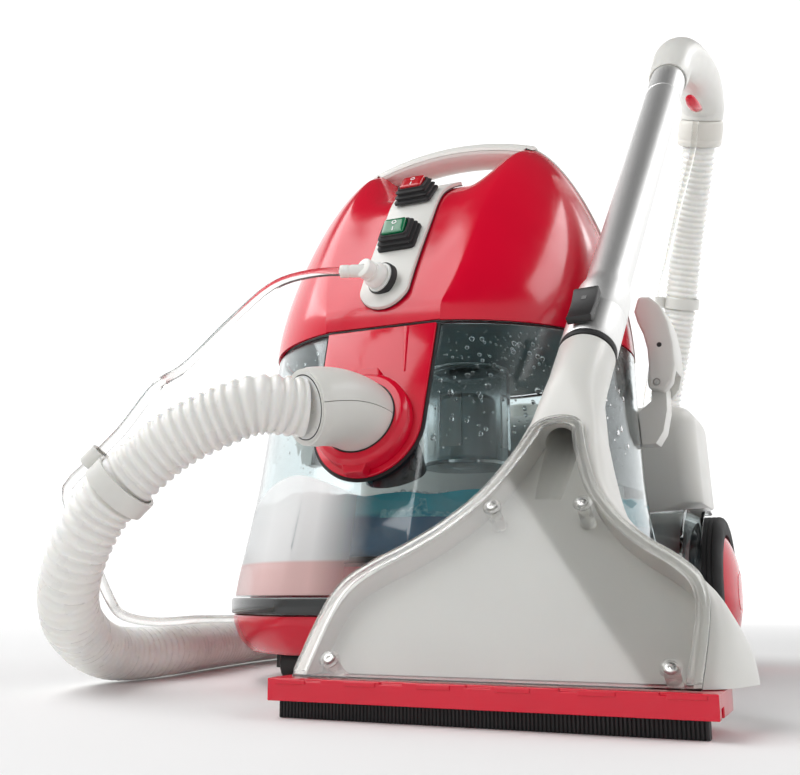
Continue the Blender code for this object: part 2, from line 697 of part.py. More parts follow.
# ---------------------------------------------------------------- motor head
# distance from the front, ridge half width, ridge height, valley height
FRONT_STATIONS = [
    (0.0000, 0.0445, 0.2466, 0.2466), (0.0004, 0.0447, 0.2560, 0.2560),
    (0.0040, 0.0460, 0.2650, 0.2665),
    (0.0140, 0.0510, 0.2840, 0.2850), (0.0290, 0.0550, 0.3100, 0.3090),
    (0.0470, 0.0575, 0.3390, 0.3360), (0.0650, 0.0600, 0.3640, 0.3620),
    (0.0860, 0.0630, 0.3880, 0.3780), (0.1120, 0.0655, 0.4110, 0.3910),
    (0.1300, 0.0670, 0.4220, 0.3955), (0.1455, 0.0680, 0.4290, 0.3980),
]
REAR_STATIONS = [
    (0.1462, 0.0680, 0.4305, 0.4000), (0.1650, 0.0670, 0.4290, 0.4005),
    (0.1900, 0.0650, 0.4200, 0.3990), (0.2200, 0.0620, 0.3960, 0.3890),
    (0.2450, 0.0580, 0.3600, 0.3600), (0.2650, 0.0530, 0.3200, 0.3200),
    (0.2800, 0.0450, 0.2800, 0.2800), (0.2870, 0.0350, 0.2560, 0.2560),
]
SPLIT_SLANT = 0.040                    # how far the red shell reaches back at the rim


def rim_half_width(y, swell):
    """Half width of the head's rim at a distance from the front."""
    flat = FRONT_FLAT_HALF / RIM_HALF
    depth = PLAN_CENTRE_Y / math.sqrt(1.0 - flat * flat) if y < PLAN_CENTRE_Y \
        else PLAN_REAR_Y - PLAN_CENTRE_Y + swell
    ratio = min(abs(y - PLAN_CENTRE_Y) / depth, 1.0)
    return (RIM_HALF + swell) * math.sqrt(1.0 - ratio * ratio)


def head_section(station, slant, swell=0.0, side_steps=7, valley_steps=8):
    """One cross-section of the head, from the left rim over both ridges to the right."""
    y0, ridge_x, ridge_z, valley_z = station
    right = []
    for i in range(side_steps + 1):
        angle = math.pi / 2 * i / side_steps
        across, upward = math.cos(angle) ** (2 / 1.55), math.sin(angle) ** (2 / 1.55)
        y = y0 + slant * (1.0 - upward)
        width = max(rim_half_width(y, swell), ridge_x * 0.98)
        right.append(Vector((ridge_x + (width - ridge_x) * across, y,
                             RIM_Z + (ridge_z - RIM_Z) * upward)))
    middle = []
    for i in range(1, valley_steps):
        x = 1.0 - 2.0 * i / valley_steps
        t = min(max((abs(x) - 0.50) / 0.50, 0.0), 1.0)
        rise = t * t * (3 - 2 * t)
        middle.append(Vector((ridge_x * x, y0, valley_z + (ridge_z - valley_z) * rise)))
    left = [Vector((-p.x, p.y, p.z)) for p in reversed(right)]
    return right + middle + left


def front_sections():
    """Sections of the red front shell."""
    sections = []
    for station in FRONT_STATIONS:
        slant = SPLIT_SLANT * (station[0] / FRONT_STATIONS[-1][0]) ** 2
        sections.append(head_section(station, slant))
    return sections


def rear_sections(swell):
    """Sections of the grey rear shell."""
    first, last = REAR_STATIONS[0][0], REAR_STATIONS[-1][0]
    sections = []
    for station in REAR_STATIONS:
        slant = SPLIT_SLANT * (last - station[0]) / (last - first)
        sections.append(head_section(station, slant, swell))
    return sections


def head_wall(name, rows, end_y, material):
    """A wall between a grid of points and the same grid drawn in towards the head's middle."""
    split_y = FRONT_STATIONS[-1][0]
    shrink = 1.0 - HEAD_WALL / RIM_HALF
    pull = 1.0 - HEAD_WALL / abs(end_y - split_y)
    inner = [[Vector((p.x * shrink, split_y + (p.y - split_y) * pull,
                      RIM_Z + (p.z - RIM_Z) * shrink)) for p in row] for row in rows]
    loops = [row + drawn_in[::-1] for row, drawn_in in zip(rows, inner)]
    count = len(rows[0])
    bm = bmesh.new()
    grid = [[bm.verts.new(point) for point in loop] for loop in loops]
    for low, high in zip(grid, grid[1:]):
        for i in range(2 * count):
            j = (i + 1) % (2 * count)
            bm.faces.new((low[i], low[j], high[j], high[i]))
    for loop in (grid[0], grid[-1]):
        for i in range(count - 1):
            bm.faces.new((loop[i], loop[i + 1], loop[-2 - i], loop[-1 - i]))
    return from_bmesh(name, bm, material)


def head_shell_front():
    """Red shell with its two shoulders and the valley between them."""
    return head_wall("head_shell_front", front_sections(), FRONT_STATIONS[0][0], RED)


def head_shell_rear():
    """Light grey rear shell, a little proud of the red one."""
    return head_wall("head_shell_rear", rear_sections(REAR_SWELL), REAR_STATIONS[-1][0], GREY)


def head_clearance():
    """The head's outer form as one solid with some clearance, to trim pieces on it."""
    grown = []
    for row in front_sections() + rear_sections(REAR_SWELL):
        ring = [p + Vector((math.copysign(0.0008, p.x), 0.0, 0.0018)) for p in row]
        ring.append(Vector((row[-1].x, row[-1].y, RIM_Z - 0.02)))
        ring.append(Vector((row[0].x, row[0].y, RIM_Z - 0.02)))
        grown.append(ring)
    return loft("head_clearance", grown, None, cutter=True)


def head_plate():
    """Plate that closes the head and carries the motor."""
    rings = [plan_ring(z, RIM_HALF, 0.0, PLAN_REAR_Y, inset)
             for z, inset in ((0.2468, 0.0050), (0.2500, 0.0055))]
    base = loft("head_plate", rings, BLACK)
    eye = cylinder("fan_eye", (0, 0.165, 0.24), (0, 0.165, 0.26), 0.0140, None, True)
    return cut(base, eye)


def vacuum_motor():
    """Suction motor: fan housing below, motor can above, open at the eye."""
    profile = [(0.0, 0.0920), (0.0300, 0.0920), (0.0370, 0.0850), (0.0370, 0.0300),
               (0.0560, 0.0280), (0.0560, 0.0004), (0.0180, 0.0004), (0.0180, 0.0040),
               (0.0500, 0.0040), (0.0500, 0.0240), (0.0, 0.0240)]
    return turned("vacuum_motor", profile, BLACK, (0, 0.165, 0.2504), (0, 0, 1), 22)


def motor_impeller():
    """Fan wheel inside the motor's housing."""
    profile = [(0.0, 0.0215), (0.0460, 0.0215), (0.0470, 0.0120), (0.0200, 0.0070),
               (0.0, 0.0070)]
    return turned("motor_impeller", profile, ALUMINIUM, (0, 0.165, 0.2504), (0, 0, 1), 28)


def water_pump():
    """Solution pump beside the motor."""
    body = box("water_pump", (-0.094, 0.100, 0.2504), (-0.064, 0.150, 0.2850), BLACK)
    nose = cylinder("pump_nose", (-0.079, 0.140, 0.268), (-0.079, 0.172, 0.268), 0.011, None, True)
    return join(body, nose)


def float_cage():
    """Cage under the head that guides the shut-off float."""
    profile = [(0.0300, 0.0), (0.0380, 0.0), (0.0380, -0.0820), (0.0100, -0.0820),
               (0.0100, -0.0790), (0.0355, -0.0790), (0.0355, -0.0030), (0.0300, -0.0030)]
    cage = turned("float_cage", profile, BLACK, (0, 0.165, 0.2464), (0, 0, 1), 20)
    slots = [box(f"cage_slot_{i}", low, high, None, True) for i, (low, high) in enumerate((
        ((-0.05, 0.155, 0.178), (0.05, 0.175, 0.222)),
        ((-0.010, 0.115, 0.178), (0.010, 0.215, 0.222))))]
    return cut(cage, *slots)


def float_ball():
    """Float that rises with the foam and shuts the motor's eye."""
    profile = [(0.0, 0.0560), (0.0220, 0.0560), (0.0260, 0.0520), (0.0260, 0.0040),
               (0.0220, 0.0), (0.0040, 0.0), (0.0040, 0.0520), (0.0, 0.0520)]
    return turned("shutoff_float", profile, WHITE, (0, 0.165, 0.1680), (0, 0, 1), 20)


def handle_half(name, clearance, upper):
    """Upper or lower half of the carrying handle between the two shoulders."""
    path = []
    for i in range(13):
        t = -1.0 + 2.0 * i / 12
        path.append(Vector((0.0735 * t, 0.1500, 0.4335 - 0.0125 * t * t)))
    rings = []
    for point in path:
        frame = (point, Vector((0.0, 1.0, 0.0)), Vector((0.0, 0.0, 1.0)))
        if upper:
            rings.append(ellipse_ring(frame, 0.0150, 0.0105, 13, 0.0, math.pi))
        else:
            low = (point - Vector((0.0, 0.0, GAP)), frame[1], frame[2])
            rings.append(ellipse_ring(low, 0.0150, 0.0095, 13, math.pi, math.pi))
    return cut(loft(name, rings, GREY), clearance)


PANEL_PROFILE = [(0.0, 0.2560), (0.0040, 0.2665), (0.0140, 0.2850), (0.0290, 0.3090),
                 (0.0470, 0.3360), (0.0650, 0.3620), (0.0860, 0.3780), (0.1120, 0.3910)]


def valley_point(y, rise=0.0):
    """A point on the middle line of the head's front, raised along its normal."""
    height = interpolate(PANEL_PROFILE, y)[0]
    ahead = interpolate(PANEL_PROFILE, y + 0.001)[0] - interpolate(PANEL_PROFILE, y - 0.001)[0]
    normal = Vector((0.0, -ahead, 0.002)).normalized()
    return Vector((0.0, y, height)) + normal * rise, normal


# distance from the front and half width of the panel, which is round at its foot
PANEL_STATIONS = [
    (0.0006, 0.0027), (0.0010, 0.0066), (0.0017, 0.0105), (0.0028, 0.0142), (0.0042, 0.0168),
    (0.0065, 0.0187), (0.0095, 0.0190), (0.0150, 0.0191), (0.0210, 0.0192), (0.0320, 0.0194),
    (0.0430, 0.0196), (0.0540, 0.0198), (0.0640, 0.0200), (0.0740, 0.0201), (0.0860, 0.0203),
    (0.0980, 0.0204), (0.1080, 0.0205), (0.1110, 0.0205),
]


def panel_rings(low_rise, high_rise, margin):
    """Sections of a strip along the panel's middle line."""
    rings = []
    for y, half in PANEL_STATIONS:
        low, _ = valley_point(y, low_rise)
        high, _ = valley_point(y, high_rise)
        wide = Vector((half + margin, 0.0, 0.0))
        narrow = Vector((half + margin - 0.0012, 0.0, 0.0))
        rings.append([low - wide, low + wide, high + narrow, high, high - narrow])
    return rings


def control_panel():
    """Light grey strip down the middle of the head's front."""
    return loft("control_panel", panel_rings(0.0016, 0.0046, 0.0), GREY)


def panel_clearance():
    """A solid a little thicker than the panel, to trim the socket on it."""
    return loft("panel_clearance", panel_rings(-0.0120, 0.0050, 0.0060), None, cutter=True)


def rounded_rectangle(frame, half_x, half_y, height, radius=0.003, corner_steps=3):
    """A ring round a rectangle in a frame, at a height above it."""
    ring = []
    for corner, (sx, sy) in enumerate(((1, 1), (-1, 1), (-1, -1), (1, -1))):
        for i in range(corner_steps):
            angle = math.pi / 2 * (corner + i / (corner_steps - 1))
            ring.append(frame @ Vector((sx * (half_x - radius) + radius * math.cos(angle),
                                        sy * (half_y - radius) + radius * math.sin(angle),
                                        height)))
    return ring


def switch_frame(y, tilt):
    """Frame on the control panel for a rocker switch."""
    point, _ = valley_point(y, 0.0050)
    normal = Vector((0.0, -math.sin(tilt), math.cos(tilt)))
    x_axis = Vector((1.0, 0.0, 0.0))
    return axes_matrix(point, x_axis, normal.cross(x_axis), normal)


ROCKER_TILT = math.radians(7)          # at rest; the throw is twice this
ROCKER_PIVOT = 0.0060
POWER_SWITCH = (0.0670, math.radians(44))
PUMP_SWITCH = (0.0355, math.radians(57))


def switch(name, place, colour):
    """Rocker switch in a ribbed rubber boot; the rocker turns about a cross axis."""
    frame = switch_frame(*place)
    outer = [(0.0150, 0.0140, 0.0), (0.0150, 0.0140, 0.0020), (0.0132, 0.0122, 0.0030),
             (0.0140, 0.0130, 0.0050), (0.0118, 0.0108, 0.0064), (0.0126, 0.0116, 0.0086),
             (0.0108, 0.0098, 0.0100), (0.0108, 0.0098, 0.0112)]
    inner = [(0.0094, 0.0087, 0.0112), (0.0094, 0.0087, 0.0)]
    rings = [rounded_rectangle(frame, *row) for row in outer + inner]
    boot = loft(f"{name}_boot", rings, RUBBER, closed_path=True)
    body = [(0.0078, 0.0066, 0.0020), (0.0084, 0.0072, 0.0060), (0.0086, 0.0074, 0.0136),
            (0.0078, 0.0066, 0.0146)]
    pivot = Vector((0.0, 0.0, ROCKER_PIVOT))
    tilted = (frame @ Matrix.Translation(pivot) @ Matrix.Rotation(ROCKER_TILT, 4, "X")
              @ Matrix.Translation(-pivot))
    rings = [rounded_rectangle(tilted, *row, 0.0015) for row in body]
    rocker = loft(f"{name}_rocker", rings, colour)
    move_origin(rocker, frame @ pivot)
    return boot, rocker


def outlet_socket(clearance):
    """Socket on the control panel for the solution tube's connector."""
    point, _ = valley_point(SOCKET_Y, 0.0050)
    profile = [(0.0100, 0.0070), (0.0128, 0.0070), (0.0135, 0.0060), (0.0140, 0.0028),
               (0.0140, -0.0030), (0.0100, -0.0030)]
    return cut(turned("outlet_socket", profile, BLACK, point, SOCKET_AXIS, 22), clearance)


def quick_connector(clearance):
    """White quick connector in the socket, with a side outlet for the tube."""
    point, _ = valley_point(SOCKET_Y, 0.0050)
    profile = [(0.0, 0.0230), (0.0060, 0.0230), (0.0072, 0.0215), (0.0072, 0.0140),
               (0.0094, 0.0120), (0.0094, -0.0030), (0.0, -0.0030)]
    body = turned("quick_connector", profile, WHITE, point, SOCKET_AXIS, 18)
    start, end = connector_outlet()
    join(body, cylinder("connector_spout", start, end, 0.0046, None, True))
    return cut(body, clearance)


def connector_outlet():
    """The start and the end of the connector's side outlet."""
    point, _ = valley_point(SOCKET_Y, 0.0050)
    start = point + SOCKET_AXIS * 0.0170
    return start, start + CONNECTOR_EXIT * 0.0200


# ---------------------------------------------------------------- solution tank
def rounded_plan(height, half, inset, radius):
    """Rounded rectangle of the solution tank at a height."""
    centre_y = (SOLUTION_FRONT + SOLUTION_REAR) / 2
    half_y = (SOLUTION_REAR - SOLUTION_FRONT) / 2 - inset
    frame = Matrix.Translation((0.0, centre_y, 0.0))
    return rounded_rectangle(frame, half - inset, half_y, height, radius, 5)


def neck_ring(height, radius):
    """Ring round the filler neck with the same point count as the tank's plan."""
    centre_y = (SOLUTION_FRONT + SOLUTION_REAR) / 2
    angles = [2 * math.pi * (i + 0.5) / 20 for i in range(20)]
    return [Vector((radius * math.cos(a), centre_y + radius * math.sin(a), height))
            for a in angles]


def solution_tank():
    """Clean water tank: a blow-moulded box, narrower between the wheels, with a neck on top."""
    wall, low, high = SOLUTION_WALL, SOLUTION_HALF_LOW, SOLUTION_HALF
    bottom, step, top = SOLUTION_BOTTOM, SOLUTION_STEP_Z, SOLUTION_TOP
    rings = [
        rounded_plan(bottom, low, 0.0060, 0.012), rounded_plan(bottom + 0.006, low, 0.0, 0.018),
        rounded_plan(step - 0.004, low, 0.0, 0.018), rounded_plan(step + 0.004, high, 0.0, 0.018),
        rounded_plan(top - 0.022, high - 0.003, 0.0, 0.018),
        rounded_plan(top - 0.010, high - 0.003, 0.0050, 0.018),
        rounded_plan(top, high - 0.003, 0.0180, 0.018),
        neck_ring(top, 0.0185), neck_ring(top + 0.0120, 0.0185), neck_ring(top + 0.0120, 0.0155),
        neck_ring(top - wall, 0.0155), rounded_plan(top - wall, high - 0.003, 0.0195, 0.015),
        rounded_plan(top - 0.022, high - 0.003, wall, 0.0155),
        rounded_plan(step + 0.007, high, wall, 0.0155),
        rounded_plan(step - 0.002, low, wall, 0.0155),
        rounded_plan(bottom + 0.007, low, wall, 0.0155),
        rounded_plan(bottom + wall, low, 0.0080, 0.010),
    ]
    return loft("solution_tank", rings, GREY)


def solution_cap():
    """Screw cap on the filler neck."""
    centre = (0.0, (SOLUTION_FRONT + SOLUTION_REAR) / 2, SOLUTION_TOP)
    profile = [(0.0, 0.0150), (0.0200, 0.0150), (0.0225, 0.0130), (0.0230, 0.0020),
               (0.0190, 0.0020), (0.0190, 0.0125), (0.0, 0.0125)]
    return turned("solution_cap", profile, GREY, centre, (0, 0, 1), 24)


# ---------------------------------------------------------------- wand and nozzle
def wand_point(distance, side=0.0, front=0.0):
    """A point on the wand's axis, or beside it."""
    return WAND_FOOT + WAND_AXIS * distance + WAND_SIDE * side + WAND_FRONT * front


def wand_tube():
    """Aluminium tube with a bell at its foot and a spigot that enters the nozzle."""
    profile = [(WAND_BORE_R, TUBE_END), (WAND_TUBE_R, TUBE_END), (WAND_TUBE_R, BELL_END + 0.012),
               (0.0180, BELL_END + 0.003), (BELL_R, BELL_END), (BELL_R, BELL_START),
               (SPIGOT_R, BELL_START), (SPIGOT_R, SPIGOT_END), (WAND_BORE_R, SPIGOT_END)]
    return turned("wand_tube", profile, ALUMINIUM, WAND_FOOT, WAND_AXIS, 24)


def neck_seal():
    """Rubber seal ring between the nozzle's neck and the tube's bell."""
    profile = [(SPIGOT_R + GAP, BELL_START - GAP), (0.0186, BELL_START - GAP),
               (0.0186, NECK_END + GAP), (SPIGOT_R + GAP, NECK_END + GAP)]
    return turned("neck_seal", profile, RUBBER, WAND_FOOT, WAND_AXIS, 20)


def lock_button():
    """Rocker button on the bell that frees the nozzle."""
    tilt = math.radians(5)
    outward = WAND_FRONT * math.cos(tilt) - WAND_SIDE * math.sin(tilt)
    across = WAND_AXIS.cross(outward)
    frame = axes_matrix(wand_point(LOCK_BUTTON_AT) + outward * (BELL_R + 0.0016), across,
                        WAND_AXIS, outward)
    rows = [(0.0086, 0.0160, 0.0), (0.0090, 0.0165, 0.0020), (0.0086, 0.0160, 0.0054),
            (0.0074, 0.0148, 0.0064)]
    button = loft("lock_button", [rounded_rectangle(frame, *row, 0.002) for row in rows], BLACK)
    return move_origin(button, frame.translation)


def grip_path():
    """Centre line of the grip, from the tube's top back and down to the hose."""
    return smooth_route([
        wand_point(GRIP_START), wand_point(TUBE_END + 0.0040), (0.1690, 0.3000, 0.5670),
        (0.1705, 0.3406, 0.5921), (0.1734, 0.3938, 0.6102), (0.1745, 0.4480, 0.6205),
        (0.1742, 0.4700, 0.6195), (0.1732, 0.4860, 0.6150),
        CUFF_START - CUFF_AXIS * 0.0100], 0.0170) + [CUFF_START]


# fraction of the grip's length and its radius
GRIP_RADII = [(0.0, 0.0184), (0.12, 0.0188), (0.45, 0.0215), (0.80, 0.0232), (1.0, 0.0238)]


def wand_grip():
    """Hollow light grey grip that thickens towards the hose."""
    frames = path_frames(grip_path())
    last = len(frames) - 1
    outer = []
    for i, frame in enumerate(frames):
        radius = interpolate(GRIP_RADII, i / last)[0]
        outer.append(ellipse_ring(frame, radius, radius, 16))
    inner = [ellipse_ring(frame, WAND_TUBE_R + GAP, WAND_TUBE_R + GAP, 16)
             for frame in reversed(frames)]
    return loft("wand_grip", outer + inner, GREY, closed_path=True)


def hose_cuff():
    """Swivel cuff at the grip's end; the hose butts against its lower face."""
    profile = [(0.0196, CUFF_LENGTH), (0.0235, CUFF_LENGTH), (0.0248, CUFF_LENGTH - 0.004),
               (0.0250, 0.0100), (0.0242, 0.0030), (0.0215, GAP), (0.0170, GAP),
               (0.0170, 0.0030), (0.0196, 0.0060)]
    return turned("hose_cuff", profile, GREY, CUFF_START, CUFF_AXIS, 22)


def grip_trigger():
    """Red trigger under the grip that opens the solution valve."""
    path = [Vector((0.1712, 0.3880, 0.5735)), Vector((0.1720, 0.4010, 0.5730)),
            Vector((0.1730, 0.4180, 0.5755)), Vector((0.1738, 0.4400, 0.5820))]
    rings = []
    for point, half_x, half_z in zip(path, (0.0045, 0.0062, 0.0062, 0.0045),
                                     (0.0030, 0.0045, 0.0045, 0.0030)):
        frame = (point, Vector((1.0, 0.0, 0.0)), Vector((0.0, 0.0, 1.0)))
        rings.append(ellipse_ring(frame, half_x, half_z, 14))
    trigger = loft("grip_trigger", rings, RED)
    return move_origin(trigger, path[-1])


def nozzle_point(across, up, out=0.0):
    """A point on the nozzle's plate: sideways, up the plate and outwards."""
    return (WAND_FOOT + Vector((across + NOZZLE_DRIFT * up, 0.0, 0.0)) + NOZZLE_UP * up
            + NOZZLE_OUT * out)


# height up the plate, front half width, rear half width, front face, rear face
SHELL_SECTIONS = [
    (0.0060, 0.1050, 0.1290, 0.0100, -0.0330),
    (0.0280, 0.1050, 0.1265, 0.0100, -0.0335),
    (0.0560, 0.1050, 0.1200, 0.0100, -0.0345),
    (0.0760, 0.0995, 0.1100, 0.0100, -0.0350),
    (0.0920, 0.0860, 0.0930, 0.0100, -0.0350),
    (0.1060, 0.0690, 0.0775, 0.0100, -0.0345),
    (0.1240, 0.0510, 0.0610, 0.0100, -0.0330),
    (0.1480, 0.0350, 0.0450, 0.0100, -0.0300),
    (0.1760, 0.0265, 0.0335, 0.0100, -0.0250),
    (0.2040, 0.0205, 0.0240, 0.0100, -0.0215),
]


def shell_ring(up, front_half, rear_half, front, rear):
    """One section of the nozzle's shell, a rounded trapezium of 24 points."""
    ring = []
    for i in range(24):
        angle = 2 * math.pi * (i + 0.5) / 24
        c, s = math.cos(angle), math.sin(angle)
        depth = front + (rear - front) * (0.5 - 0.5 * math.copysign(abs(s) ** 0.35, s))
        blend = (depth - rear) / (front - rear)
        half = rear_half + (front_half - rear_half) * blend
        ring.append(nozzle_point(half * math.copysign(abs(c) ** 0.35, c), up, depth))
    return ring


def neck_sections():
    """The round neck above the shell's trapezium sections."""
    rings = []
    for distance, radius in ((0.2280, 0.0196), (0.2420, NECK_R), (NECK_END - 0.0020, NECK_R),
                             (NECK_END, NECK_R - 0.0010)):
        ring = []
        for i in range(24):
            angle = 2 * math.pi * (i + 0.5) / 24
            ring.append(wand_point(distance, radius * math.cos(angle), radius * math.sin(angle)))
        rings.append(ring)
    return rings


def cover_outline(inset=0.0):
    """The cover's outline as (across, up), from the lower right round to the lower left."""
    right = [(max(half - inset, 0.001), up) for up, half in COVER_OUTLINE if half > 0]
    top = (0.0, COVER_OUTLINE[-1][0] - inset)
    return right + [top] + [(-x, y) for x, y in reversed(right)]


def nozzle_plate(name, inset, low, thickness, material, cutter=False):
    """A flat solid with the cover's outline, sheared to follow the wand."""
    outline = cover_outline(inset)
    bm = bmesh.new()
    front = [bm.verts.new(nozzle_point(x, y, low + thickness)) for x, y in outline]
    back = [bm.verts.new(nozzle_point(x, y, low)) for x, y in outline]
    bm.faces.new(front)
    bm.faces.new(back)
    for i in range(len(outline)):
        j = (i + 1) % len(outline)
        bm.faces.new((front[i], front[j], back[j], back[i]))
    return from_bmesh(name, bm, material, cutter)


def nozzle_floor():
    """Everything below the nozzle's underside."""
    return box("nozzle_floor", (-0.05, -0.30, -0.05), (0.30, 0.0, NOZZLE_FLOOR_Z), None, True)


def nozzle_shell(floor):
    """Light grey nozzle body with a shallow flow chamber and the neck's bore."""
    sections = [shell_ring(*row) for row in SHELL_SECTIONS]
    shell = loft("nozzle_shell", sections + neck_sections(), GREY)
    chamber = nozzle_plate("flow_chamber", 0.0045, -0.0050, 0.030, None, True)
    bore = cylinder("neck_bore", wand_point(0.1500, 0.0, -0.0050), wand_point(0.2340), 0.0095,
                    None, True, 24)
    socket = cylinder("neck_socket", wand_point(0.2300), wand_point(0.3100), NECK_BORE_R, None,
                      True, 24)
    return cut(shell, chamber, bore, socket, floor)


def nozzle_cover(floor):
    """Clear cover over the flow chamber."""
    return cut(nozzle_plate("nozzle_cover", 0.0, 0.0104, 0.0030, CLEAR), floor)


def lip_holder():
    """Red strip that clips under the nozzle and holds the squeegee."""
    outline = [(-0.1650, 0.0085), (-0.1650, 0.0195), (-0.1180, 0.0195), (-0.1180, 0.0085),
               (-0.1505, 0.0085), (-0.1505, 0.0130), (-0.1595, 0.0130), (-0.1595, 0.0085)]
    frame = Matrix(((0, 0, 1, LIP_LEFT), (1, 0, 0, 0), (0, 1, 0, 0), (0, 0, 0, 1)))
    return plate("lip_holder", outline, LIP_RIGHT - LIP_LEFT, frame, RED)


def squeegee():
    """Ribbed rubber lip that rests on the floor."""
    outline = [(-0.1590, 0.0), (-0.1590, 0.0125), (-0.1510, 0.0125), (-0.1510, 0.0)]
    frame = Matrix(((0, 0, 1, 0.0192), (1, 0, 0, 0), (0, 1, 0, 0), (0, 0, 0, 1)))
    return plate("squeegee", outline, 0.2291 - 0.0192, frame, RUBBER)


# ---------------------------------------------------------------- hose and tube
def hose_route():
    """Route of the suction hose, from the elbow round the machine to the cuff."""
    elbow = elbow_path()
    leave = (elbow[-1] - elbow[-2]).normalized()
    cuff_end = CUFF_START + CUFF_AXIS * (CUFF_LENGTH + 0.0008)
    return [
        elbow[-1] + leave * 0.0006,
        (-0.0213, -0.0929, 0.1741), (-0.0381, -0.1061, 0.1737), (-0.0583, -0.1133, 0.1654),
        (-0.0815, -0.1211, 0.1534), (-0.0965, -0.1250, 0.1409), (-0.1145, -0.1296, 0.1260),
        (-0.1320, -0.1325, 0.1039), (-0.1448, -0.1308, 0.0813), (-0.1602, -0.1177, 0.0573),
        (-0.1791, -0.0818, 0.0353), (-0.1947, -0.0292, 0.0205), (-0.1950, 0.0300, 0.0198),
        (-0.2080, 0.0900, 0.0198), (-0.2200, 0.1500, 0.0198), (-0.2300, 0.2200, 0.0198),
        (-0.2320, 0.3000, 0.0198), (-0.2130, 0.4100, 0.0198), (-0.1550, 0.5000, 0.0200),
        (-0.0750, 0.5560, 0.0240), (0.0000, 0.5950, 0.0560), (0.0480, 0.6200, 0.1350),
        (0.0740, 0.6260, 0.2250), (0.0912, 0.6200, 0.2967), (0.1113, 0.6018, 0.3664),
        (0.1246, 0.5834, 0.4231), (0.1365, 0.5647, 0.4787), cuff_end + CUFF_AXIS * 0.0360,
        cuff_end + CUFF_AXIS * 0.0180, cuff_end,
    ]


def hose_points():
    """The hose's centre line, at the spacing of its straight pieces."""
    return smooth_route(hose_route(), HOSE_STEP)


def vacuum_hose():
    """Corrugated suction hose, as its smooth outer cylinder."""
    return cord("vacuum_hose", hose_points(), HOSE_R, 3, HOSE)


def nearest_piece(points, target):
    """Index of the straight piece whose middle is nearest to a point."""
    middles = [(points[i] + points[i + 1]) / 2 for i in range(len(points) - 1)]
    return min(range(len(middles)), key=lambda i: (middles[i] - target).length)


def hose_frame(points, position):
    """A point on the centre line with its tangent, side and upper directions."""
    i = min(int(position), len(points) - 2)
    ahead = (points[min(i + 2, len(points) - 1)] - points[max(i - 1, 0)]).normalized()
    side = ahead.cross(Vector((0.0, 0.0, 1.0))).normalized()
    return points[i].lerp(points[i + 1], position - i), ahead, side, side.cross(ahead)


def beside_hose(points, position, degrees, distance=TUBE_OFFSET):
    """A point beside the hose, at an angle round it from its side to its top."""
    point, _, side, up = hose_frame(points, position)
    angle = math.radians(degrees)
    return point + (side * math.cos(angle) + up * math.sin(angle)) * distance


def hose_clip(name, points, index, degrees):
    """Grey ring round the hose with an eye beside it that carries the solution tube."""
    axis = (points[index + 1] - points[index]).normalized()
    centre = (points[index] + points[index + 1]) / 2
    profile = [(HOSE_R + GAP, 0.0060), (0.0217, 0.0060), (0.0217, -0.0060), (HOSE_R + GAP, -0.0060)]
    clip = turned(name, profile, GREY, centre, axis, 26)
    eye_centre = clip_eye(points, index, degrees)
    eye = cylinder(f"{name}_eye", eye_centre - axis * 0.0060, eye_centre + axis * 0.0060, 0.0064,
                   None, True, 16)
    hole = cylinder(f"{name}_hole", eye_centre - axis * 0.0100, eye_centre + axis * 0.0100,
                    TUBE_R + 2 * GAP, None, True, 16)
    hose = cylinder(f"{name}_hose", centre - axis * 0.0100, centre + axis * 0.0100,
                    HOSE_R + GAP, None, True, 26)
    join(clip, eye)
    return cut(clip, hole, hose)


def clip_eye(points, index, degrees):
    """Middle of a clip's eye, square to the straight piece of hose it sits on."""
    axis = (points[index + 1] - points[index]).normalized()
    centre = (points[index] + points[index + 1]) / 2
    outward = beside_hose(points, index + 0.5, degrees) - centre
    outward = (outward - axis * outward.dot(axis)).normalized()
    return centre + outward * TUBE_OFFSET


def through_eye(points, index, degrees):
    """Points that carry the tube straight through a clip's eye."""
    axis = (points[index + 1] - points[index]).normalized()
    eye = clip_eye(points, index, degrees)
    return eye - axis * 0.0210, eye, eye + axis * 0.0210


def solution_tube_front(points, clip):
    """Clear tube from the connector down to the front clip's eye."""
    _, outlet = connector_outlet()
    axis = (points[clip + 1] - points[clip]).normalized()
    eye = clip_eye(points, clip, FRONT_EYE)
    route = [
        outlet + CONNECTOR_EXIT * 0.0003, outlet + CONNECTOR_EXIT * 0.0140,
        (-0.0560, -0.0500, 0.2700), (-0.0760, -0.0680, 0.2440), (-0.0980, -0.0900, 0.2080),
        beside_hose(points, clip - 1.2, FRONT_EYE, 0.0360), eye - axis * 0.0240,
        eye - axis * 0.0120, eye - axis * 0.0003,
    ]
    return cord("solution_tube_front", smooth_route(route, 0.0120), TUBE_R, 2, CLEAR)


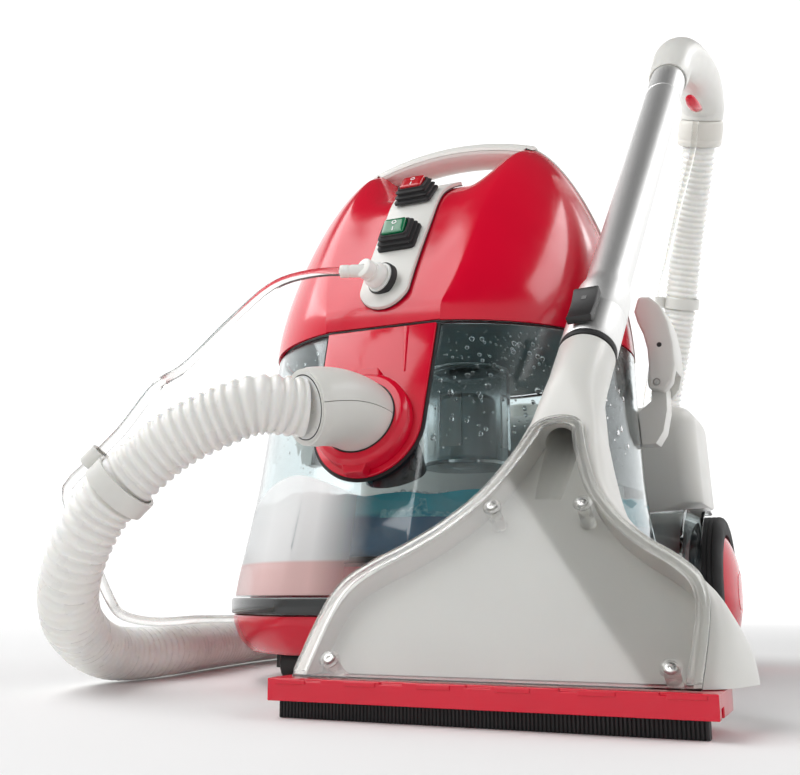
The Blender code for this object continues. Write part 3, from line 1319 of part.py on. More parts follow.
def solution_tube_rear(points, front_clip, rear_clip):
    """Clear tube from the front clip along the hose to the valve in the grip."""
    last = len(points) - 1
    axis = (points[front_clip + 1] - points[front_clip]).normalized()
    eye = clip_eye(points, front_clip, FRONT_EYE)
    route = [eye + axis * 0.0003, eye + axis * 0.0120, eye + axis * 0.0240]
    for position, degrees in ((front_clip + 2.2, 78), (front_clip + 3.4, 55), (front_clip + 4.6, 45),
                              (front_clip + 5.8, 50), (front_clip + 8.0, 60)):
        route.append(beside_hose(points, position, degrees))
    for position in range(front_clip + 10, rear_clip - 1, 2):
        share = (position - front_clip - 10) / (rear_clip - front_clip - 10)
        route.append(beside_hose(points, position, 60 + (REAR_EYE - 60) * share))
    route.extend(through_eye(points, rear_clip, REAR_EYE))
    for position in range(rear_clip + 2, last - 1, 2):
        share = (position - rear_clip) / (last - rear_clip)
        route.append(beside_hose(points, position, REAR_EYE + (VALVE_SIDE - REAR_EYE) * share))
    outward = beside_hose(points, last - 0.5, VALVE_SIDE) - points[-1]
    outward = (outward - CUFF_AXIS * outward.dot(CUFF_AXIS)).normalized() * 0.0300
    route.extend([points[-1] + outward, CUFF_START + CUFF_AXIS * 0.0120 + outward,
                  CUFF_START + outward])
    return cord("solution_tube_rear", smooth_route(route, 0.0235), TUBE_R, 2, CLEAR)


def build():
    """Make every part."""
    clearance = tank_clearance()
    base_pan()
    recovery_tank()
    tank_band()
    tank_gasket()
    inlet_bib()
    inlet_collar()
    inlet_duct()
    inlet_elbow_half("inlet_elbow_upper", 0.0)
    inlet_elbow_half("inlet_elbow_lower", math.pi)
    rear_axle()
    for side_name, side in (("left", -1), ("right", 1)):
        rear_wheel(side_name, side)
        wheel_guard(side_name, side, clearance)
        caster(side_name, side)
        latch(side_name, side, clearance)
    build_head()
    solution_tank()
    solution_cap()
    build_wand()
    build_hose()


def build_head():
    """Make the motor head and what it carries."""
    head = head_clearance()
    panel = panel_clearance()
    head_shell_front()
    head_shell_rear()
    head_plate()
    vacuum_motor()
    motor_impeller()
    water_pump()
    float_cage()
    float_ball()
    handle_half("carry_handle_upper", head, True)
    handle_half("carry_handle_lower", head, False)
    control_panel()
    switch("power", POWER_SWITCH, RED)
    switch("pump", PUMP_SWITCH, GREEN)
    outlet_socket(panel)
    quick_connector(panel)


def build_wand():
    """Make the wand, its grip and the nozzle."""
    floor = nozzle_floor()
    wand_tube()
    neck_seal()
    lock_button()
    wand_grip()
    hose_cuff()
    grip_trigger()
    nozzle_shell(floor)
    nozzle_cover(floor)
    lip_holder()
    squeegee()


def build_hose():
    """Make the hose, its clips and the solution tube."""
    points = hose_points()
    front_clip = nearest_piece(points, FRONT_CLIP_NEAR)
    rear_clip = nearest_piece(points, REAR_CLIP_NEAR)
    vacuum_hose()
    hose_clip("hose_clip_front", points, front_clip, FRONT_EYE)
    hose_clip("hose_clip_rear", points, rear_clip, REAR_EYE)
    solution_tube_front(points, front_clip)
    solution_tube_rear(points, front_clip, rear_clip)


build()
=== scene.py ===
"""Looks of a spray-extraction carpet cleaner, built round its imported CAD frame.

Lengths are metres.  The pieces are drawn in the machine's own coordinates, whose
zero is on the floor below the front edge of the tank's rim, and are moved by
OFFSET into the frame's coordinates when they are made.
"""
import json
import math
import random

import bmesh
import bpy
from mathutils import Matrix, Vector, noise


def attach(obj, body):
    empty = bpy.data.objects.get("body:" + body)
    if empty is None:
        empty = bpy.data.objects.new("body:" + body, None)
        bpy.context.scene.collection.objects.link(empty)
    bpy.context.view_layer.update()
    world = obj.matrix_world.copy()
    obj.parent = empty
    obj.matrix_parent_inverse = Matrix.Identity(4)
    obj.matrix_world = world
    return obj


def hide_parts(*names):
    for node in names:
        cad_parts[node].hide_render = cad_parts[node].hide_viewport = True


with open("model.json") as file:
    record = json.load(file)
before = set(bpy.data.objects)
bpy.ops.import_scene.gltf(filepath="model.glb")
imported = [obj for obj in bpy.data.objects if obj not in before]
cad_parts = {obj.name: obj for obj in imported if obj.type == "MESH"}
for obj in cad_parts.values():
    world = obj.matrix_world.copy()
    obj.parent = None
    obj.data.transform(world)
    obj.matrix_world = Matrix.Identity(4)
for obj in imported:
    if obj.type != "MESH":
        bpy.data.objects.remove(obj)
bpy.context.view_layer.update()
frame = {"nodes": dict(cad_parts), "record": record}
NODES = frame["nodes"]
BODY_OF = {node: body for body, nodes in frame["record"]["behaviour"]["bodies"].items()
           for node in nodes}
OFFSET = Vector((-0.0236, -0.1880, 0.0))
MM = 0.001
GAP = 0.0004

# ---------------------------------------------------------------- camera, light and floor
scene = bpy.context.scene
scene.view_settings.view_transform = "Standard"
scene.view_settings.exposure = 0.30


def add_camera():
    """Camera close to the floor, in front and to the right, tilted a little upwards."""
    camera = bpy.data.cameras.new("camera")
    camera.lens = 45.0
    camera.sensor_width = 36.0
    obj = bpy.data.objects.new("camera", camera)
    scene.collection.objects.link(obj)
    obj.location = (0.2691, -0.8021, 0.0587)
    pitch = math.radians(11.9)
    look = Vector((-0.413 * math.cos(pitch), 0.911 * math.cos(pitch), math.sin(pitch)))
    obj.rotation_euler = look.to_track_quat("-Z", "Y").to_euler()
    scene.camera = obj


add_camera()


# ---------------------------------------------------------------- routes and sections
def interpolate(table, x):
    """Smooth interpolation through rows of (x, value, value ...)."""
    if x <= table[0][0]:
        return table[0][1:]
    for i in range(len(table) - 1):
        if x <= table[i + 1][0]:
            return hermite(table, i, x)
    return table[-1][1:]


def hermite(table, i, x):
    """Cubic between rows i and i + 1, with slopes from the neighbouring rows."""
    before, low, high, after = (table[max(i - 1, 0)], table[i], table[i + 1],
                                table[min(i + 2, len(table) - 1)])
    span = high[0] - low[0]
    t = (x - low[0]) / span
    values = []
    for k in range(1, len(low)):
        slope_low = (high[k] - before[k]) / (high[0] - before[0]) * span
        slope_high = (after[k] - low[k]) / (after[0] - low[0]) * span
        values.append((2 * t**3 - 3 * t**2 + 1) * low[k] + (t**3 - 2 * t**2 + t) * slope_low
                      + (3 * t**2 - 2 * t**3) * high[k] + (t**3 - t**2) * slope_high)
    return tuple(values)


def smoothstep(low, high, x):
    """0 below low, 1 above high, smooth between."""
    t = min(max((x - low) / (high - low), 0.0), 1.0)
    return t * t * (3 - 2 * t)


def smooth_route(points, spacing):
    """Points at an even spacing on a centripetal Catmull-Rom curve through a route."""
    points = [Vector(p) for p in points]
    ends = [points[0] * 2 - points[1]] + points + [points[-1] * 2 - points[-2]]
    dense = []
    for a, b, c, d in zip(ends, ends[1:], ends[2:], ends[3:]):
        for step in range(24):
            dense.append(catmull_rom(a, b, c, d, step / 24))
    dense.append(points[-1])
    total = sum((q - p).length for p, q in zip(dense, dense[1:]))
    count = round(total / spacing)
    return resample(dense, total / count, count)


def catmull_rom(a, b, c, d, t):
    """One point of the centripetal curve between b and c."""
    knots = [0.0]
    for p, q in ((a, b), (b, c), (c, d)):
        knots.append(knots[-1] + math.sqrt((q - p).length))
    t0, t1, t2, t3 = knots
    x = t1 + (t2 - t1) * t
    a1 = a * ((t1 - x) / (t1 - t0)) + b * ((x - t0) / (t1 - t0))
    a2 = b * ((t2 - x) / (t2 - t1)) + c * ((x - t1) / (t2 - t1))
    a3 = c * ((t3 - x) / (t3 - t2)) + d * ((x - t2) / (t3 - t2))
    b1 = a1 * ((t2 - x) / (t2 - t0)) + a2 * ((x - t0) / (t2 - t0))
    b2 = a2 * ((t3 - x) / (t3 - t1)) + a3 * ((x - t1) / (t3 - t1))
    return b1 * ((t2 - x) / (t2 - t1)) + b2 * ((x - t1) / (t2 - t1))


def resample(dense, step, count):
    """Walk along a dense polyline and take a point at every step."""
    result = [dense[0]]
    walked = 0.0
    for p, q in zip(dense, dense[1:]):
        length = (q - p).length
        while walked + length >= step * len(result) and len(result) < count:
            result.append(p.lerp(q, (step * len(result) - walked) / length))
        walked += length
    result.append(dense[-1])
    return result


def path_frames(points):
    """A (point, side, up) frame at each point of a path, without twist."""
    frames = []
    side = None
    for i, point in enumerate(points):
        ahead = points[min(i + 1, len(points) - 1)] - points[max(i - 1, 0)]
        ahead.normalize()
        if side is None:
            side = ahead.cross(Vector((0.0, 0.0, 1.0))).normalized()
        side = (side - ahead * side.dot(ahead)).normalized()
        frames.append((point, side, side.cross(ahead)))
    return frames


def ring_at(path_frame, half_side, half_up, count, start=0.0, sweep=2 * math.pi):
    """Points on an ellipse or an elliptic arc in a path frame."""
    point, side, up = path_frame
    steps = count if sweep >= 2 * math.pi else count - 1
    return [point + side * (math.cos(start + sweep * i / steps) * half_side)
            + up * (math.sin(start + sweep * i / steps) * half_up) for i in range(count)]


def axes_matrix(origin, x_axis, y_axis, z_axis):
    """A frame from an origin and three unit axes."""
    matrix = Matrix((x_axis, y_axis, z_axis)).transposed().to_4x4()
    matrix.translation = origin
    return matrix


# ---------------------------------------------------------------- materials
def map_range(tree, value, low, high, start, end):
    """Map a socket's value from start..end to low..high, and no further."""
    item = tree.nodes.new("ShaderNodeMapRange")
    tree.links.new(value, item.inputs["Value"])
    for key, number in (("From Min", start), ("From Max", end), ("To Min", low),
                        ("To Max", high)):
        item.inputs[key].default_value = number
    return item.outputs["Result"]


def feed(tree, value, socket):
    """Link a socket to an input, or set the input to a plain value."""
    if isinstance(value, bpy.types.NodeSocket):
        tree.links.new(value, socket)
    else:
        socket.default_value = value


class Graph:
    """A material's node tree with short ways to add nodes."""

    def __init__(self, name):
        self.material = bpy.data.materials.new(name)
        self.material.use_nodes = True
        self.tree = self.material.node_tree
        self.shader = self.tree.nodes["Principled BSDF"]
        self.place = self.node("ShaderNodeTexCoord").outputs["Object"]

    def node(self, kind, **values):
        """Add a node; keys name its settings or its inputs."""
        item = self.tree.nodes.new(kind)
        for key, value in values.items():
            if hasattr(item, key):
                setattr(item, key, value)
            else:
                feed(self.tree, value, item.inputs[key.replace("_", " ")])
        return item

    def maths(self, operation, *values):
        """The result of a maths node on numbers or sockets."""
        item = self.node("ShaderNodeMath", operation=operation)
        for value, socket in zip(values, item.inputs):
            feed(self.tree, value, socket)
        return item.outputs[0]

    def link(self, output, target):
        """Feed one of the shader's inputs."""
        self.tree.links.new(output, self.shader.inputs[target])

    def set(self, **values):
        """Set the shader's own inputs; an underscore stands for a space."""
        for key, value in values.items():
            self.shader.inputs[key.replace("_", " ")].default_value = value

    def stretched(self, scale):
        """Object coordinates stretched by a factor along each axis."""
        mapping = self.node("ShaderNodeMapping", Vector=self.place, Scale=scale)
        return mapping.outputs["Vector"]

    def noise(self, scale, detail=3.0, roughness=0.5, vector=None):
        """The value of a noise texture."""
        item = self.node("ShaderNodeTexNoise", Vector=vector or self.place, Scale=scale,
                         Detail=detail, Roughness=roughness)
        return item.outputs["Fac"]

    def ramp(self, value, low, high, start=0.35, end=0.65):
        """Map a value to a range."""
        return map_range(self.tree, value, low, high, start, end)

    def blend(self, value, first, second):
        """Mix two colours by a value."""
        item = self.tree.nodes.new("ShaderNodeMix")
        item.data_type = "RGBA"
        self.tree.links.new(value, item.inputs[0])
        item.inputs[6].default_value = (*first, 1.0)
        item.inputs[7].default_value = (*second, 1.0)
        return item.outputs[2]

    def bump(self, height, strength, distance=0.0005):
        """Roughen the surface by a height."""
        item = self.node("ShaderNodeBump", Height=height, Strength=strength, Distance=distance)
        self.link(item.outputs["Normal"], "Normal")


def shade(colour, factor):
    """A colour made lighter or darker."""
    return tuple(min(c * factor, 1.0) for c in colour)


def plastic(name, colour, roughness, spread=0.06, grain=0.0, grain_scale=900.0, coat=0.0,
            mottle=0.06, subsurface=0.0):
    """Moulded plastic: slight colour drift, uneven gloss, and a grain in its surface."""
    g = Graph(name)
    drift = g.ramp(g.noise(14.0, 2.0), 0.0, 1.0)
    g.link(g.blend(drift, shade(colour, 1.0 - mottle), shade(colour, 1.0 + mottle)), "Base Color")
    g.link(g.ramp(g.noise(60.0, 4.0), roughness - spread, roughness + spread), "Roughness")
    if grain:
        g.bump(g.noise(grain_scale, 2.0), grain, 0.0003)
    g.set(IOR=1.5, Coat_Weight=coat, Coat_Roughness=0.06)
    if subsurface:
        g.set(Subsurface_Weight=subsurface, Subsurface_Scale=0.004)
        g.shader.inputs["Subsurface Radius"].default_value = (1.0, 0.8, 0.6)
    return g.material


def clear_plastic(name, colour, roughness, ior=1.45, haze=0.02, alpha=1.0):
    """Clear plastic with a faint, uneven haze on its surface."""
    g = Graph(name)
    g.link(g.blend(g.ramp(g.noise(9.0, 3.0), 0.0, 1.0), shade(colour, 0.97), colour),
           "Base Color")
    g.link(g.ramp(g.noise(45.0, 5.0), roughness, roughness + haze), "Roughness")
    g.set(Transmission_Weight=1.0, IOR=ior, Alpha=alpha)
    return g.material


def brushed(name, colour, roughness, axis):
    """Metal brushed along an axis."""
    g = Graph(name)
    scale = [1400.0, 1400.0, 1400.0]
    scale[axis] = 12.0
    lines = g.noise(1.0, 3.0, 0.6, g.stretched(scale))
    g.link(g.blend(lines, shade(colour, 0.88), shade(colour, 1.06)), "Base Color")
    g.link(g.ramp(lines, roughness - 0.06, roughness + 0.10, 0.2, 0.8), "Roughness")
    g.bump(lines, 0.12, 0.0002)
    g.set(Metallic=1.0)
    return g.material


RED_COLOUR = (0.690, 0.0015, 0.0260)
GREY_COLOUR = (0.735, 0.730, 0.695)
RED = plastic("red_gloss", RED_COLOUR, 0.16, 0.03, 0.010, 300.0, 0.15, 0.03)
RED_SATIN = plastic("red_satin", shade(RED_COLOUR, 0.92), 0.34, 0.05, 0.05, 1200.0)
GREY = plastic("grey_satin", GREY_COLOUR, 0.36, 0.05, 0.02, 1500.0, 0.0, 0.02, 0.10)
GASKET = plastic("gasket_rubber", (0.070, 0.028, 0.030), 0.55, 0.08, 0.10, 1100.0)
CUFF = plastic("grey_warm", (0.75, 0.73, 0.68), 0.42, 0.05, 0.06, 1500.0, 0.0, 0.02, 0.10)
BLACK = plastic("black_satin", (0.018, 0.018, 0.018), 0.42, 0.08, 0.08, 1500.0)
RUBBER = plastic("black_rubber", (0.016, 0.016, 0.017), 0.62, 0.08, 0.15, 1100.0)
TYRE = plastic("tyre_rubber", (0.020, 0.020, 0.021), 0.70, 0.08, 0.25, 700.0)
DARK_SMOKE = plastic("smoked_dark", (0.030, 0.033, 0.034), 0.20, 0.05, 0.02, 800.0, 0.3)
WHITE = plastic("white_nylon", (0.80, 0.80, 0.77), 0.38, 0.06, 0.06, 1300.0, 0.0, 0.03, 0.2)
GREEN = plastic("green_lens", (0.0, 0.160, 0.060), 0.22, 0.04, 0.0, 0.0, 0.4)
LENS_RED = plastic("red_lens", (0.560, 0.004, 0.014), 0.22, 0.04, 0.0, 0.0, 0.4)
MARK = plastic("white_mark", (0.85, 0.85, 0.85), 0.40)
VINYL = plastic("hose_vinyl", (0.850, 0.845, 0.815), 0.30, 0.08, 0.10, 600.0, 0.2, 0.03, 0.35)
STEEL = brushed("bright_steel", (0.62, 0.62, 0.60), 0.22, 1)
ALUMINIUM = brushed("satin_aluminium", (0.84, 0.84, 0.83), 0.46, 2)
CAGE = clear_plastic("cage_smoke", (0.78, 0.84, 0.85), 0.15)
DUCT = plastic("duct_dark", (0.022, 0.020, 0.026), 0.30, 0.06, 0.0, 0.0, 0.2)
PLATE = plastic("plate_grey", (0.270, 0.300, 0.300), 0.38, 0.05, 0.04, 1300.0)
SMOKED = clear_plastic("smoked_clear", (0.84, 0.905, 0.915), 0.02)
CLEAR = clear_plastic("clear_cover", (0.95, 0.955, 0.945), 0.04)
EDGE = clear_plastic("clear_edge", (0.93, 0.93, 0.91), 0.16, 1.30, 0.10, 0.62)
TUBE_CLEAR = clear_plastic("clear_vinyl", (0.95, 0.95, 0.93), 0.10, 1.40, 0.08)

DROP = clear_plastic("water_drops", (0.97, 0.98, 0.98), 0.0, 1.33, 0.01)
PALE_MARK = plastic("pale_mark", (0.42, 0.42, 0.42), 0.45)


def water_material():
    """Blue cleaning water that lightens towards its surface."""
    g = Graph("tank_water")
    height = g.node("ShaderNodeSeparateXYZ", Vector=g.place).outputs["Z"]
    depth = g.ramp(height, 0.0, 1.0, 0.1085, 0.1125)
    g.link(g.blend(depth, (0.0, 0.120, 0.260), (0.020, 0.420, 0.520)), "Base Color")
    g.bump(g.noise(60.0, 3.0), 0.25, 0.002)
    g.set(Transmission_Weight=0.30, IOR=1.33, Roughness=0.12)
    return g.material


def foam_material():
    """White translucent bubbles."""
    g = Graph("foam")
    g.link(g.ramp(g.noise(300.0), 0.10, 0.30), "Roughness")
    g.set(Transmission_Weight=0.6, IOR=1.2)
    g.shader.inputs["Base Color"].default_value = (0.85, 0.93, 0.94, 1.0)
    return g.material


def foam_bank_material():
    """Turquoise water full of fine bubbles."""
    g = Graph("foam_bank")
    speckle = g.ramp(g.noise(260.0, 6.0, 0.7), 0.0, 1.0, 0.42, 0.66)
    g.link(g.blend(speckle, (0.002, 0.270, 0.370), (0.280, 0.640, 0.680)), "Base Color")
    g.bump(g.noise(420.0, 4.0), 0.5, 0.001)
    g.set(Roughness=0.25, Transmission_Weight=0.15, IOR=1.2)
    return g.material


WAVE_PITCH, WAVE_START, WAVE_HEIGHT = 43.0, 1.809, 0.0093
PRINT_DENSITY = 0.82


def print_material():
    """Frosted white ink, dense at the front, open past both sides and a wave; its foot is painted
    pink, a painted glow of the red base seen through the skirt.
    """
    g = Graph("frosted_print")
    parts = g.node("ShaderNodeSeparateXYZ", Vector=g.place)
    x, z = parts.outputs["X"], parts.outputs["Z"]
    wave = g.maths("SINE", g.maths("MULTIPLY_ADD", x, WAVE_PITCH, WAVE_START))
    top = g.ramp(g.maths("MULTIPLY_ADD", wave, WAVE_HEIGHT, z), 1.0, 0.0, 0.1306, 0.1320)
    right = g.ramp(x, 1.0, 0.0, -0.052, -0.012)
    left = g.ramp(x, 0.15, 1.0, -0.185, -0.095)
    cover = g.maths("MULTIPLY", g.maths("MULTIPLY", right, left), top)
    g.link(g.ramp(cover, 0.0, PRINT_DENSITY, 0.0, 1.0), "Alpha")
    g.link(g.ramp(g.noise(400.0), 0.35, 0.55), "Roughness")
    # Painted light: below the tank's floor the ink turns pink, standing in for the red base seen
    # through the skirt.
    low = g.ramp(z, 0.0, 1.0, 0.0812, 0.0830)
    g.link(g.blend(low, (0.90, 0.60, 0.58), (0.94, 0.95, 0.95)), "Base Color")
    return g.material


WATER = water_material()
FOAM = foam_material()
FOAM_BANK = foam_bank_material()
PRINT = print_material()


# ---------------------------------------------------------------- pieces
def enlist(obj, body, replaced=()):
    """Name what a piece rides on, and the nodes it stands for."""
    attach(obj, body)
    for node in replaced:
        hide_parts(node)
    return obj


def link_mesh(name, mesh, material, angle=35.0):
    """An object in the frame's coordinates from a mesh in the machine's."""
    mesh.transform(Matrix.Translation(OFFSET))
    return finish_mesh(name, mesh, material, angle)


def finish_mesh(name, mesh, material, angle=35.0):
    """Point the faces out, smooth them, and link an object."""
    bm = bmesh.new()
    bm.from_mesh(mesh)
    bmesh.ops.recalc_face_normals(bm, faces=bm.faces)
    bm.to_mesh(mesh)
    bm.free()
    mesh.shade_smooth()
    mesh.set_sharp_from_angle(angle=math.radians(angle))
    mesh.materials.clear()
    mesh.materials.append(material)
    obj = bpy.data.objects.new(name, mesh)
    scene.collection.objects.link(obj)
    return obj


def from_parts(name, verts, faces, material, angle=35.0):
    """An object from vertices and faces in the machine's coordinates."""
    mesh = bpy.data.meshes.new(name)
    mesh.from_pydata([tuple(v) for v in verts], [], faces)
    return link_mesh(name, mesh, material, angle)


def ring_faces(count, rows, closed=True, loop=False, caps=True, first=0):
    """Faces between rows of points."""
    faces = []
    for a in range(rows if loop else rows - 1):
        b = (a + 1) % rows
        for i in range(count if closed else count - 1):
            j = (i + 1) % count
            faces.append(tuple(first + k for k in (a * count + i, a * count + j,
                                                   b * count + j, b * count + i)))
    if caps and closed and not loop:
        faces.append(tuple(first + i for i in range(count)))
        faces.append(tuple(first + (rows - 1) * count + i for i in range(count)))
    return faces


def loft(name, rings, material, loop=False, caps=True, angle=35.0, closed=True):
    """Skin rings with equal point counts."""
    verts = [p for ring in rings for p in ring]
    faces = ring_faces(len(rings[0]), len(rings), closed, loop, caps)
    return from_parts(name, verts, faces, material, angle)


def round_ring(place, radius, height, count, shift=0.0):
    """A circle round a frame's axis, at a height above its origin."""
    turns = (2 * math.pi * (i + shift) / count for i in range(count))
    return [place @ Vector((radius * math.cos(a), radius * math.sin(a), height)) for a in turns]


def turned(name, profile, material, centre, axis, steps=64, angle=35.0):
    """Turn a profile of (radius, height) round an axis."""
    turn = Vector(axis).normalized().to_track_quat("Z", "Y").to_matrix().to_4x4()
    place = Matrix.Translation(centre) @ turn
    verts, rows = [], []
    for radius, height in profile:
        ring = round_ring(place, radius, height, steps if radius else 1)
        rows.append(list(range(len(verts), len(verts) + len(ring))))
        verts += ring
    pairs = list(zip(rows, rows[1:]))
    if profile[0][0] or profile[-1][0]:
        pairs.append((rows[-1], rows[0]))
    faces = []
    for low, high in pairs:
        for i in range(steps):
            j = (i + 1) % steps
            a = (low[0],) if len(low) == 1 else (low[i], low[j])
            b = (high[0],) if len(high) == 1 else (high[j], high[i])
            if len(a) + len(b) > 2:
                faces.append(a + b)
    return from_parts(name, verts, faces, material, angle)


def rod(name, start, end, radius, material, steps=24):
    """A plain cylinder between two points, for cutting holes."""
    start, end = Vector(start), Vector(end)
    length = (end - start).length
    return turned(name, [(0.0, 0.0), (radius, 0.0), (radius, length), (0.0, length)], material,
                  start, end - start, steps)


def plate(name, outline, low, high, place, material):
    """A flat outline in a frame's XY plane, between two heights above it."""
    verts = [place @ Vector((x, y, z)) for z in (low, high) for x, y in outline]
    return from_parts(name, verts, ring_faces(len(outline), 2), material)


def block(name, low, high, material=None):
    """A box between two corners."""
    (x0, y0, z0), (x1, y1, z1) = low, high
    outline = [(x0, y0), (x1, y0), (x1, y1), (x0, y1)]
    return plate(name, outline, z0, z1, Matrix.Identity(4), material)


def settled(obj):
    """Apply an object's modifiers to its mesh."""
    graph = bpy.context.evaluated_depsgraph_get()
    mesh = bpy.data.meshes.new_from_object(obj.evaluated_get(graph))
    obj.modifiers.clear()
    obj.data = mesh
    return obj


def cut(obj, *cutters, operation="DIFFERENCE", angle=35.0):
    """Subtract helper solids from an object and remove them."""
    for cutter in cutters:
        boolean = obj.modifiers.new("cut", "BOOLEAN")
        boolean.operation = operation
        boolean.object = cutter
    settled(obj)
    obj.data.set_sharp_from_angle(angle=math.radians(angle))
    for cutter in cutters:
        bpy.data.objects.remove(cutter)
    return obj


def soften(obj, width, segments=2, angle=40.0):
    """Round an object's sharp edges."""
    bevel = obj.modifiers.new("round", "BEVEL")
    bevel.width = width
    bevel.segments = segments
    bevel.limit_method = "ANGLE"
    bevel.angle_limit = math.radians(angle)
    bevel.harden_normals = True
    return settled(obj)


def refined(node, material, bevel=0.0, angle=35.0):
    """A welded copy of a CAD node with soft edges and smooth shading, in its place."""
    mesh = NODES[node].data.copy()
    bm = bmesh.new()
    bm.from_mesh(mesh)
    bmesh.ops.remove_doubles(bm, verts=bm.verts, dist=0.00001)
    bmesh.ops.dissolve_limit(bm, angle_limit=math.radians(0.5), verts=bm.verts, edges=bm.edges)
    bm.to_mesh(mesh)
    bm.free()
    obj = finish_mesh(node + "_shown", mesh, material, angle)
    if bevel:
        soften(obj, bevel)
    return enlist(obj, BODY_OF[node], (node,))


def stand_in(obj, *nodes):
    """Put a rebuilt piece in the place of CAD nodes."""
    return enlist(obj, BODY_OF[nodes[0]], nodes)


# ---------------------------------------------------------------- driving dimensions
PLAN_CENTRE_Y = 0.144
PLAN_REAR_Y = 0.288
TANK_REAR_Y = PLAN_REAR_Y - 0.003
BASE_HALF = 0.1620
BASE_FRONT_Y = -0.0500
FRONT_FLAT_HALF = 0.044
TANK_WALL = 3.0 * MM
TANK_FLOOR_Z = 0.083
TANK_BOTTOM_Z = 0.0597
TANK_TOP_Z = 0.2440
RIM_Z = 0.2461
HEAD_WALL = 2.5 * MM
RIM_HALF = 0.1450
REAR_SWELL = 1.5 * MM
TANK_SECTIONS = [
    (0.0475, 0.1620, -0.0500), (0.0600, 0.1620, -0.0490), (0.0750, 0.1600, -0.0460),
    (0.0900, 0.1570, -0.0425), (0.1130, 0.1530, -0.0360), (0.1360, 0.1500, -0.0293),
    (0.1720, 0.1480, -0.0182), (0.2100, 0.1460, -0.0064), (0.2455, 0.1450, 0.0045),
]
BIB_TOP_Z = 0.2455
BIB_ROUND_Z = 0.1735
BIB_HALF_TOP = 0.0418
BIB_HALF = 0.0395
BIB_THICK = 3.9 * MM
BIB_SLOPE = math.atan2(0.0227, 0.0735)
INLET_Z = 0.1720
INLET_HOLE_R = 0.0268
INLET_NORMAL = Vector((0.0, -math.cos(BIB_SLOPE), math.sin(BIB_SLOPE)))
INLET = Vector((0.0, -(TANK_TOP_Z + 0.0015 - INLET_Z) * math.tan(BIB_SLOPE), INLET_Z))
ELBOW_OUT_R = 0.0250
ELBOW_IN_R = 0.0222
HOSE_R = 0.0190
HOSE_STEP = 0.0285
CUFF_LENGTH = 0.030
CUFF_START = Vector((0.1698, 0.5010, 0.6000))
CUFF_AXIS = Vector((-0.22, 0.47, -0.855)).normalized()
TUBE_R = 0.00325
TUBE_OFFSET = 0.0262
FRONT_EYE = 90.0
REAR_EYE = 5.0
VALVE_SIDE = -60.0
FRONT_CLIP_NEAR = Vector((-0.1146, -0.1294, 0.1244))
REAR_CLIP_NEAR = Vector((0.1213, 0.5883, 0.4085))
CONNECTOR_EXIT = Vector((-0.95, -0.30, 0.0)).normalized()
SOCKET_AXIS = Vector((-0.35, -0.90, 0.22)).normalized()
SOCKET_Y = 0.0105
PANEL_PROFILE = [(0.0, 0.2560), (0.0040, 0.2665), (0.0140, 0.2850), (0.0290, 0.3090),
                 (0.0470, 0.3360), (0.0650, 0.3620), (0.0860, 0.3780), (0.1120, 0.3910)]


def valley_point(y, rise=0.0):
    """A point on the middle line of the head's front, raised along its normal."""
    height = interpolate(PANEL_PROFILE, y)[0]
    ahead = interpolate(PANEL_PROFILE, y + 0.001)[0] - interpolate(PANEL_PROFILE, y - 0.001)[0]
    normal = Vector((0.0, -ahead, 0.002)).normalized()
    return Vector((0.0, y, height)) + normal * rise


def connector_outlet():
    """The start and the end of the connector's side outlet."""
    start = valley_point(SOCKET_Y, 0.0050) + SOCKET_AXIS * 0.0170
    return start, start + CONNECTOR_EXIT * 0.0200


def elbow_path(spacing=0.0095):
    """Centre line of the inlet elbow, from the collar to the hose."""
    return smooth_route([
        INLET + INLET_NORMAL * 0.0012, INLET + INLET_NORMAL * 0.0140,
        (-0.0025, -0.0560, 0.1778), (-0.0065, -0.0715, 0.1768), (-0.0130, -0.0835, 0.1745),
    ], spacing)


# ---------------------------------------------------------------- hose and solution tube
def hose_route():
    """Route of the suction hose, from the elbow round the machine to the cuff."""
    elbow = elbow_path()
    leave = (elbow[-1] - elbow[-2]).normalized()
    cuff_end = CUFF_START + CUFF_AXIS * (CUFF_LENGTH + 0.0008)
    return [
        elbow[-1] + leave * 0.0006,
        (-0.0213, -0.0929, 0.1741), (-0.0381, -0.1061, 0.1737), (-0.0583, -0.1133, 0.1654),
        (-0.0815, -0.1211, 0.1534), (-0.0965, -0.1250, 0.1409), (-0.1145, -0.1296, 0.1260),
        (-0.1320, -0.1325, 0.1039), (-0.1448, -0.1308, 0.0813), (-0.1602, -0.1177, 0.0573),
        (-0.1791, -0.0818, 0.0353), (-0.1947, -0.0292, 0.0205), (-0.1950, 0.0300, 0.0198),
        (-0.2080, 0.0900, 0.0198), (-0.2200, 0.1500, 0.0198), (-0.2300, 0.2200, 0.0198),
        (-0.2320, 0.3000, 0.0198), (-0.2130, 0.4100, 0.0198), (-0.1550, 0.5000, 0.0200),
        (-0.0750, 0.5560, 0.0240), (0.0000, 0.5950, 0.0560), (0.0480, 0.6200, 0.1350),
        (0.0740, 0.6260, 0.2250), (0.0912, 0.6200, 0.2967), (0.1113, 0.6018, 0.3664),
        (0.1246, 0.5834, 0.4231), (0.1365, 0.5647, 0.4787), cuff_end + CUFF_AXIS * 0.0360,
        cuff_end + CUFF_AXIS * 0.0180, cuff_end,
    ]


def nearest_piece(points, target):
    """Index of the straight piece whose middle is nearest to a point."""
    middles = [(points[i] + points[i + 1]) / 2 for i in range(len(points) - 1)]
    return min(range(len(middles)), key=lambda i: (middles[i] - target).length)


def beside_hose(points, position, degrees, distance=TUBE_OFFSET):
    """A point beside the hose, at an angle round it from its side to its top."""
    i = min(int(position), len(points) - 2)
    ahead = (points[min(i + 2, len(points) - 1)] - points[max(i - 1, 0)]).normalized()
    side = ahead.cross(Vector((0.0, 0.0, 1.0))).normalized()
    up = side.cross(ahead)
    angle = math.radians(degrees)
    outward = side * math.cos(angle) + up * math.sin(angle)
    return points[i].lerp(points[i + 1], position - i) + outward * distance


